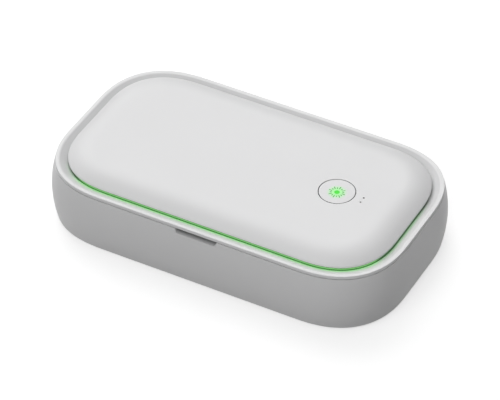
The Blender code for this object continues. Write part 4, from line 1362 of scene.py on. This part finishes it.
def add_spill(rim):
    """Store how far down the slope each point of the rim lies, and how much of the ring is lit beside it, as
    masks for the painted glow and painted shade on the slope.

    A point's inset is the corner's reach less the power sum's root of its distances past the
    corner's middle. The slope's share grows evenly from its outer edge to the groove, and the
    lit share changes along the groove as the ring's own light does.
    """
    case = case_sizes()
    spots = np.empty(len(rim.data.vertices) * 3)
    rim.data.vertices.foreach_get("co", spots)
    x, y = spots.reshape(-1, 3).T[:2]
    past_x = np.clip(np.abs(x) - (half_length - case.corner_reach), 0, None)
    past_y = np.clip(np.abs(y) - (half_width - case.corner_reach), 0, None)
    power = case.corner_power
    inset = case.corner_reach - (past_x ** power + past_y ** power) ** (1 / power)
    land = side_inset(rim_top) + lid_sizes().land_width
    near = np.clip((inset - land) / (slope_inner - land), 0, 1) * (inset < slope_inner + 0.0001)
    strong = np.clip((lit_lean * x - y - 0.0410) / 0.0060, 0, 1)
    weak = 0.45 * np.clip((faint_lean * x - y - 0.0080) / 0.0220, 0, 1)
    for name, values in (("slope", near), ("lit", np.maximum(strong, weak))):
        rim.data.attributes.new(name, "FLOAT", "POINT")
        rim.data.attributes[name].data.foreach_set("value", values.astype(np.float32))


class STERILIZER_OT_lid_panel(PieceOperator):
    """Build the domed panel with its button hole and pin holes"""

    bl_idname = "sterilizer.lid_panel"
    bl_label = "Lid panel"

    def execute(self, context):
        lid = lid_sizes()
        bend = math.pi / 2 - lid.shoulder_angle
        run = lid.edge_round * (1 - math.sin(lid.shoulder_angle)) + lid.shoulder_radius * math.sin(
            lid.shoulder_angle
        )
        flat = lid.panel_inset + run
        centre = (flat, panel_top - lid.shoulder_radius)
        outer = arc(centre, lid.shoulder_radius, bend, math.pi / 2, 30)
        foot_inset, foot_level = outer[0]
        edge_centre = (
            foot_inset + lid.edge_round * math.cos(bend), foot_level - lid.edge_round * math.sin(bend)
        )
        edge = arc(edge_centre, lid.edge_round, 0, bend, 8)[:-1]
        inner_radius = lid.shoulder_radius - lid.panel_thickness
        inner_edge = lid.panel_inset + lid.panel_thickness
        inner_bend = math.acos((flat - inner_edge) / inner_radius)
        inner = [
            p
            for p in arc(centre, inner_radius, inner_bend, math.pi / 2, 16) if p[1] > lid.panel_edge + 0.0005
        ]
        skirt = [(lid.panel_inset, lid.panel_edge, 0.0001), (inner_edge, lid.panel_edge, 0.0001)]
        section = rounded([*outer[::-1], *edge[::-1], *skirt, *inner])
        panel = carried("top_panel", section, case_shape(6))
        underside = panel_top - lid.panel_thickness
        bosses = [
            rod("boss", screw_boss, liner_top + clearance, underside + 0.0005, place)
            for place in lid_screw_places
        ]
        shaped(panel, bosses, "UNION")
        holes = [
            rod("hole", screw_hole, liner_top - 0.002, liner_plate + 0.0071, place)
            for place in lid_screw_places
        ]
        button = button_sizes()
        holes.append(rod(
            "button_hole", button.radius + button.gap, underside - 0.002, panel_top + 0.002, (button_x, 0),
            steps=24
        ))
        for name in ("indicator_pipe_front", "indicator_pipe_rear"):
            middle = middle_of(name)
            holes.append(rod(
                "pin_hole", 0.0006, underside - 0.002, panel_top + 0.002, (middle.x, middle.y), steps=5
            ))
        shaped(panel, holes)
        dress(panel, "lid", "case_white", ["lid_panel"])
        return {"FINISHED"}


class STERILIZER_OT_light_guide(PieceOperator):
    """Build the lit ring and the strip of lamps behind its front"""

    bl_idname = "sterilizer.light_guide"
    bl_label = "Lit ring"

    def execute(self, context):
        node = "light_guide"
        inset = half_width - high(node).y
        inner = inset + 0.0015
        start = low(node).z
        end = high(node).z
        section = rounded([
            (inset, start, 0.0001), (inset, end, 0.0003), (inner, end, 0.0001), (inner, start, 0.0001),
        ])
        guide = carried("lit_ring", section, ring=True)
        dress(guide, "lid", "lit_guide", [node])

        node = "glow_board"
        near = low(node)
        far = high(node)
        back = near.y + 0.0008
        strip = block("lamp_strip", (near.x, back, near.z), far, 0.0001, 0.00005)
        dress(strip, "lid", "board_green", [node])
        lamps = []
        middle = (near.z + far.z) / 2
        for x in np.linspace(near.x + 0.0075, far.x - 0.0075, 8):
            lamps.append(block(
                "lamp", (x - 0.0015, near.y, middle - 0.0007), (x + 0.0015, back, middle + 0.0007), 0.0002,
                0.00008
            ))
        dress(merged("strip_lamps", lamps), "lid", "lens_green")
        return {"FINISHED"}


class STERILIZER_OT_lid_liner(PieceOperator):
    """Build the lid's inner cover, its bright plate and its screws"""

    bl_idname = "sterilizer.lid_liner"
    bl_label = "Lid liner"

    def execute(self, context):
        block_inset = shelf_inset + clearance
        flange = 0.00965
        recess = 0.0200
        section = rounded([
            (block_inset + 0.001, liner_top), (block_inset, liner_top, 0.0003),
            (block_inset, liner_flange_top, 0.0002), (flange, liner_flange_top, 0.0002),
            (flange, liner_flange_bottom, 0.0005), (recess, liner_flange_bottom, 0.0006),
            (recess, liner_plate, 0.0006), (recess + 0.004, liner_plate),
        ])
        liner = carried("inner_cover", section)
        cuts = []
        for place in lid_screw_places:
            cuts.append(rod("head_pocket", head_pocket, liner_plate - 0.002, liner_plate + 0.0016, place))
            cuts.append(rod("shank_hole", screw_hole, liner_plate - 0.002, liner_top + 0.002, place))
        for place in magnet_places:
            cuts.append(rod(
                "magnet_pocket", magnet_pocket, liner_flange_bottom - 0.002, liner_flange_bottom + 0.0015,
                place
            ))
        shaped(liner, cuts)
        lamp_seats(liner, liner_top, -1)
        dress(liner, "lid", "inner_white", ["lid_liner"])
        mirror_plate("lid_mirror", "lid", "lid_reflector", 0.0203)
        for name in ("front_left", "front_right", "rear_left", "rear_right"):
            screw_piece("lid", "lid_screw_" + name, "liner_screw_" + name)
        return {"FINISHED"}


class STERILIZER_OT_button(PieceOperator):
    """Build the button's cap with its sun sign, the lens and the switch stem"""

    bl_idname = "sterilizer.button"
    bl_label = "Button"

    def execute(self, context):
        button = button_sizes()
        near = low("button_cap")
        flange_top = panel_top - lid_sizes().panel_thickness - clearance
        flange = (high("button_cap").x - near.x) / 2
        face = panel_top - 0.00002
        skin = panel_top - 0.0008
        pocket = 0.0065
        side_in = flange - button.radius
        section = rounded([
            (side_in + 0.002, face), (side_in, face, 0.00012), (side_in, flange_top, 0.0003),
            (0, flange_top, 0.0002), (0, near.z, 0.0002), (flange - pocket, near.z, 0.0001),
            (flange - pocket, skin, 0.0003), (flange - pocket + 0.002, skin),
        ])
        cap = carried("button_face", section, round_shape(flange, 24), place=(button_x, 0, 0))
        dress(cap, "button", "cap_white", ["button_cap"])

        dot = rod("sign_dot", button.dot_radius, face - 0.0002, panel_top, sign_place(), steps=16)
        dress(dot, "button", "sign_dot")
        rays = merged("sign_rays", sign_rays(button, face - 0.0002))
        dress(rays, "button", "sign_rays")

        node = "icon_lens"
        lens = rod("sign_lens", half_across(node), low(node).z, high(node).z, (button_x, 0), 0.0003, 20)
        dress(lens, "button", "lens_green", [node])
        node = "switch_plunger"
        stem = rod("switch_stem", half_across(node), low(node).z, high(node).z, (button_x, 0), 0.0002)
        dress(stem, "button", "black_plastic", [node])
        return {"FINISHED"}


def sign_rays(button, bottom):
    """Bars round the sign's dot: each is a slot outline with round ends, turned about the middle."""
    made = []
    for number in range(16):
        end = button.long_ray_end if number % 2 == 0 else button.short_ray_end
        half = (end - button.ray_start) / 2
        middle = (end + button.ray_start) / 2
        turn = Matrix.Rotation(number * math.pi / 8, 4, "Z") @ Matrix.Translation((middle, 0, 0))
        shape = box_shape(half, button.ray_width / 2, button.ray_width / 2, 4)
        made.append(carried("ray", upright(bottom, panel_top), shape, place=(*sign_place(), 0), turn=turn))
    return made


class STERILIZER_OT_button_board(PieceOperator):
    """Build the board, the switch and the light pipes under the panel"""

    bl_idname = "sterilizer.button_board"
    bl_label = "Button board"

    def execute(self, context):
        near = low("lid_board")
        far = high("lid_board")
        board = block("switch_board", near, far, 0.0015, 0.0001)
        dress(board, "lid", "board_green", ["lid_board"])
        node = "tact_switch"
        start = low(node)
        end = high(node)
        body = block("switch_body", start, end, 0.0004, 0.00015)
        shaped(body, [rod("well", 0.0018, high(node).z - 0.0019, high(node).z + 0.002, (button_x, 0))])
        dress(body, "lid", "black_plastic", [node])
        legs = []
        for x in (-0.0025, 0.0025):
            for y0, y1 in ((-0.0036, -0.0030), (0.0030, 0.0036)):
                legs.append(block(
                    "leg", (button_x + x - 0.0003, y0, far.z + 0.00002),
                    (button_x + x + 0.0003, y1, start.z + 0.0004), 0.00005
                ))
        dress(merged("switch_legs", legs), "lid", "nickel")
        for side_name in ("front", "rear"):
            node = "indicator_pipe_" + side_name
            middle = middle_of(node)
            radius = half_across(node)
            tip = radius - 0.00044
            section = rounded([
                (tip, low(node).z), (0, low(node).z, 0.0002), (0, high(node).z, 0.0002),
                (tip, high(node).z, 0.0001), (tip, panel_top - 0.00015, 0.0001),
                (tip + 0.0002, panel_top - 0.0001),
            ])
            pipe = carried(
                "light_pipe_" + side_name, section, round_shape(radius), place=(middle.x, middle.y, 0)
            )
            dress(pipe, "lid", "smoky_pipe", [node])
        return {"FINISHED"}


# Stage


class STERILIZER_OT_stage(bpy.types.Operator):
    """Set up the floor, the lights and the camera"""

    bl_idname = "sterilizer.stage"
    bl_label = "Stage"
    bl_options = {"REGISTER", "UNDO"}

    def execute(self, context):
        studio = context.scene.studio
        self.build_floor()
        self.build_sky(context.scene, studio)
        self.build_sun("key_light", (-0.5, 0.5, 0.7071), studio.key_strength)
        self.build_sun("fill_light", (0.0, -0.7071, 0.7071), studio.fill_strength)
        self.build_sun("top_light", (0.0, 0.3420, 0.9397), studio.top_strength)
        self.build_camera(context.scene, studio)
        context.scene.view_settings.view_transform = "Standard"
        return {"FINISHED"}

    def build_floor(self):
        """A wide sheet, white for the camera and darker for the light that it throws back."""
        size = 6.0
        line = np.linspace(-size, size, 5)
        x, y = np.meshgrid(line, line)
        points = np.stack([x, y, np.zeros_like(x)], axis=2)
        row = np.arange(4)[:, None] * 5 + np.arange(4)[None]
        faces = np.stack([row, row + 1, row + 6, row + 5], axis=2).reshape(-1, 4)
        floor = new_piece("floor", points, faces.tolist())
        finish, tree, shader, spot = new_finish("floor_white")
        seen = seen_rays(tree)
        speckle = noise(tree, spot, 40.0, 3.0)
        plain = mixed(tree, speckle, (0.545, 0.545, 0.545, 1), (0.555, 0.555, 0.555, 1))
        tree.links.new(mixed(tree, seen, (0.34, 0.34, 0.34, 1), plain), shader.inputs["Base Color"])
        lit(tree, shader, seen, (0.62, 0.62, 0.62))
        feed(tree, shader, {"Roughness": 0.9, "Specular IOR Level": 0.0})
        floor.data.materials.append(finish)

    def build_sky(self, scene, studio):
        """White for the camera, reflections and glass, and the even light's strength elsewhere."""
        world = bpy.data.worlds.new("sky")
        world.use_nodes = True
        tree = world.node_tree
        even = studio.sky_strength
        colour = mixed(tree, seen_rays(tree), (even, even, even, 1), (1, 1, 1, 1))
        tree.links.new(colour, tree.nodes["Background"].inputs["Color"])
        scene.world = world

    def build_sun(self, name, direction, strength):
        lamp = bpy.data.lights.new(name, "SUN")
        lamp.energy = strength
        lamp.angle = math.radians(sun_spread)
        sun = bpy.data.objects.new(name, lamp)
        sun.rotation_mode = "QUATERNION"
        sun.rotation_quaternion = Vector(direction).to_track_quat("Z", "Y")
        bpy.context.scene.collection.objects.link(sun)

    def build_camera(self, scene, studio):
        """Right, up and ahead follow from the two angles, and the offsets move the camera across them."""
        a = studio.azimuth
        e = studio.elevation
        right = Vector((math.cos(a), math.sin(a), 0))
        ahead = Vector((-math.sin(a) * math.cos(e), math.cos(a) * math.cos(e), -math.sin(e)))
        up = right.cross(ahead)
        camera = bpy.data.objects.new("camera", bpy.data.cameras.new("camera"))
        camera.data.sensor_width = 36.0
        camera.data.lens = studio.lens
        camera.data.clip_start = 0.05
        camera.data.clip_end = 50.0
        middle = Vector((0, 0, rim_top))
        aimed = middle - right * studio.offset_right - up * studio.offset_up
        camera.location = aimed - ahead * studio.distance
        camera.rotation_mode = "QUATERNION"
        camera.rotation_quaternion = Matrix((right, up, -ahead)).transposed().to_quaternion()
        scene.collection.objects.link(camera)
        scene.camera = camera


def seen_rays(tree):
    """1 for rays from the camera, from reflections and through glass, and 0 for the others."""
    rays = put(tree, "LightPath").outputs
    first = maths(tree, "MAXIMUM", rays["Is Camera Ray"], rays["Is Glossy Ray"])
    return maths(tree, "MAXIMUM", first, rays["Is Transmission Ray"])


class STERILIZER_PT_panel(bpy.types.Panel):
    """Lists the sizes, the colours and the pieces"""

    bl_idname = "STERILIZER_PT_panel"
    bl_label = "Sterilization box"
    bl_space_type = "VIEW_3D"
    bl_region_type = "UI"
    bl_category = "Sterilizer"

    def draw(self, context):
        layout = self.layout
        scene = context.scene
        for group in (
            scene.case_sizes, scene.lid_sizes, scene.button_sizes, scene.box_colours, scene.studio
        ):
            box = layout.box()
            for name in group.bl_rna.properties.keys():
                if name not in ("rna_type", "name"):
                    box.prop(group, name)
        column = layout.column()
        for operator in operators:
            column.operator(operator.bl_idname)


operators = (
    STERILIZER_OT_stage,
    STERILIZER_OT_base_shell,
    STERILIZER_OT_underside,
    STERILIZER_OT_chamber,
    STERILIZER_OT_lamps,
    STERILIZER_OT_power,
    STERILIZER_OT_hinge_and_magnets,
    STERILIZER_OT_lid_frame,
    STERILIZER_OT_lid_panel,
    STERILIZER_OT_light_guide,
    STERILIZER_OT_lid_liner,
    STERILIZER_OT_button,
    STERILIZER_OT_button_board,
)
groups = {
    "case_sizes": CaseSizes,
    "lid_sizes": LidSizes,
    "button_sizes": ButtonSizes,
    "box_colours": Colours,
    "studio": Studio,
}


def register():
    for group in groups.values():
        bpy.utils.register_class(group)
    for operator in operators:
        bpy.utils.register_class(operator)
    bpy.utils.register_class(STERILIZER_PT_panel)
    for name, group in groups.items():
        setattr(bpy.types.Scene, name, PointerProperty(type=group))


def unregister():
    for name in groups:
        delattr(bpy.types.Scene, name)
    bpy.utils.unregister_class(STERILIZER_PT_panel)
    for operator in reversed(operators):
        bpy.utils.unregister_class(operator)
    for group in reversed(list(groups.values())):
        bpy.utils.unregister_class(group)


def main():
    register()
    for operator in operators:
        family, name = operator.bl_idname.split(".")
        getattr(getattr(bpy.ops, family), name)()


if __name__ == "__main__":
    main()
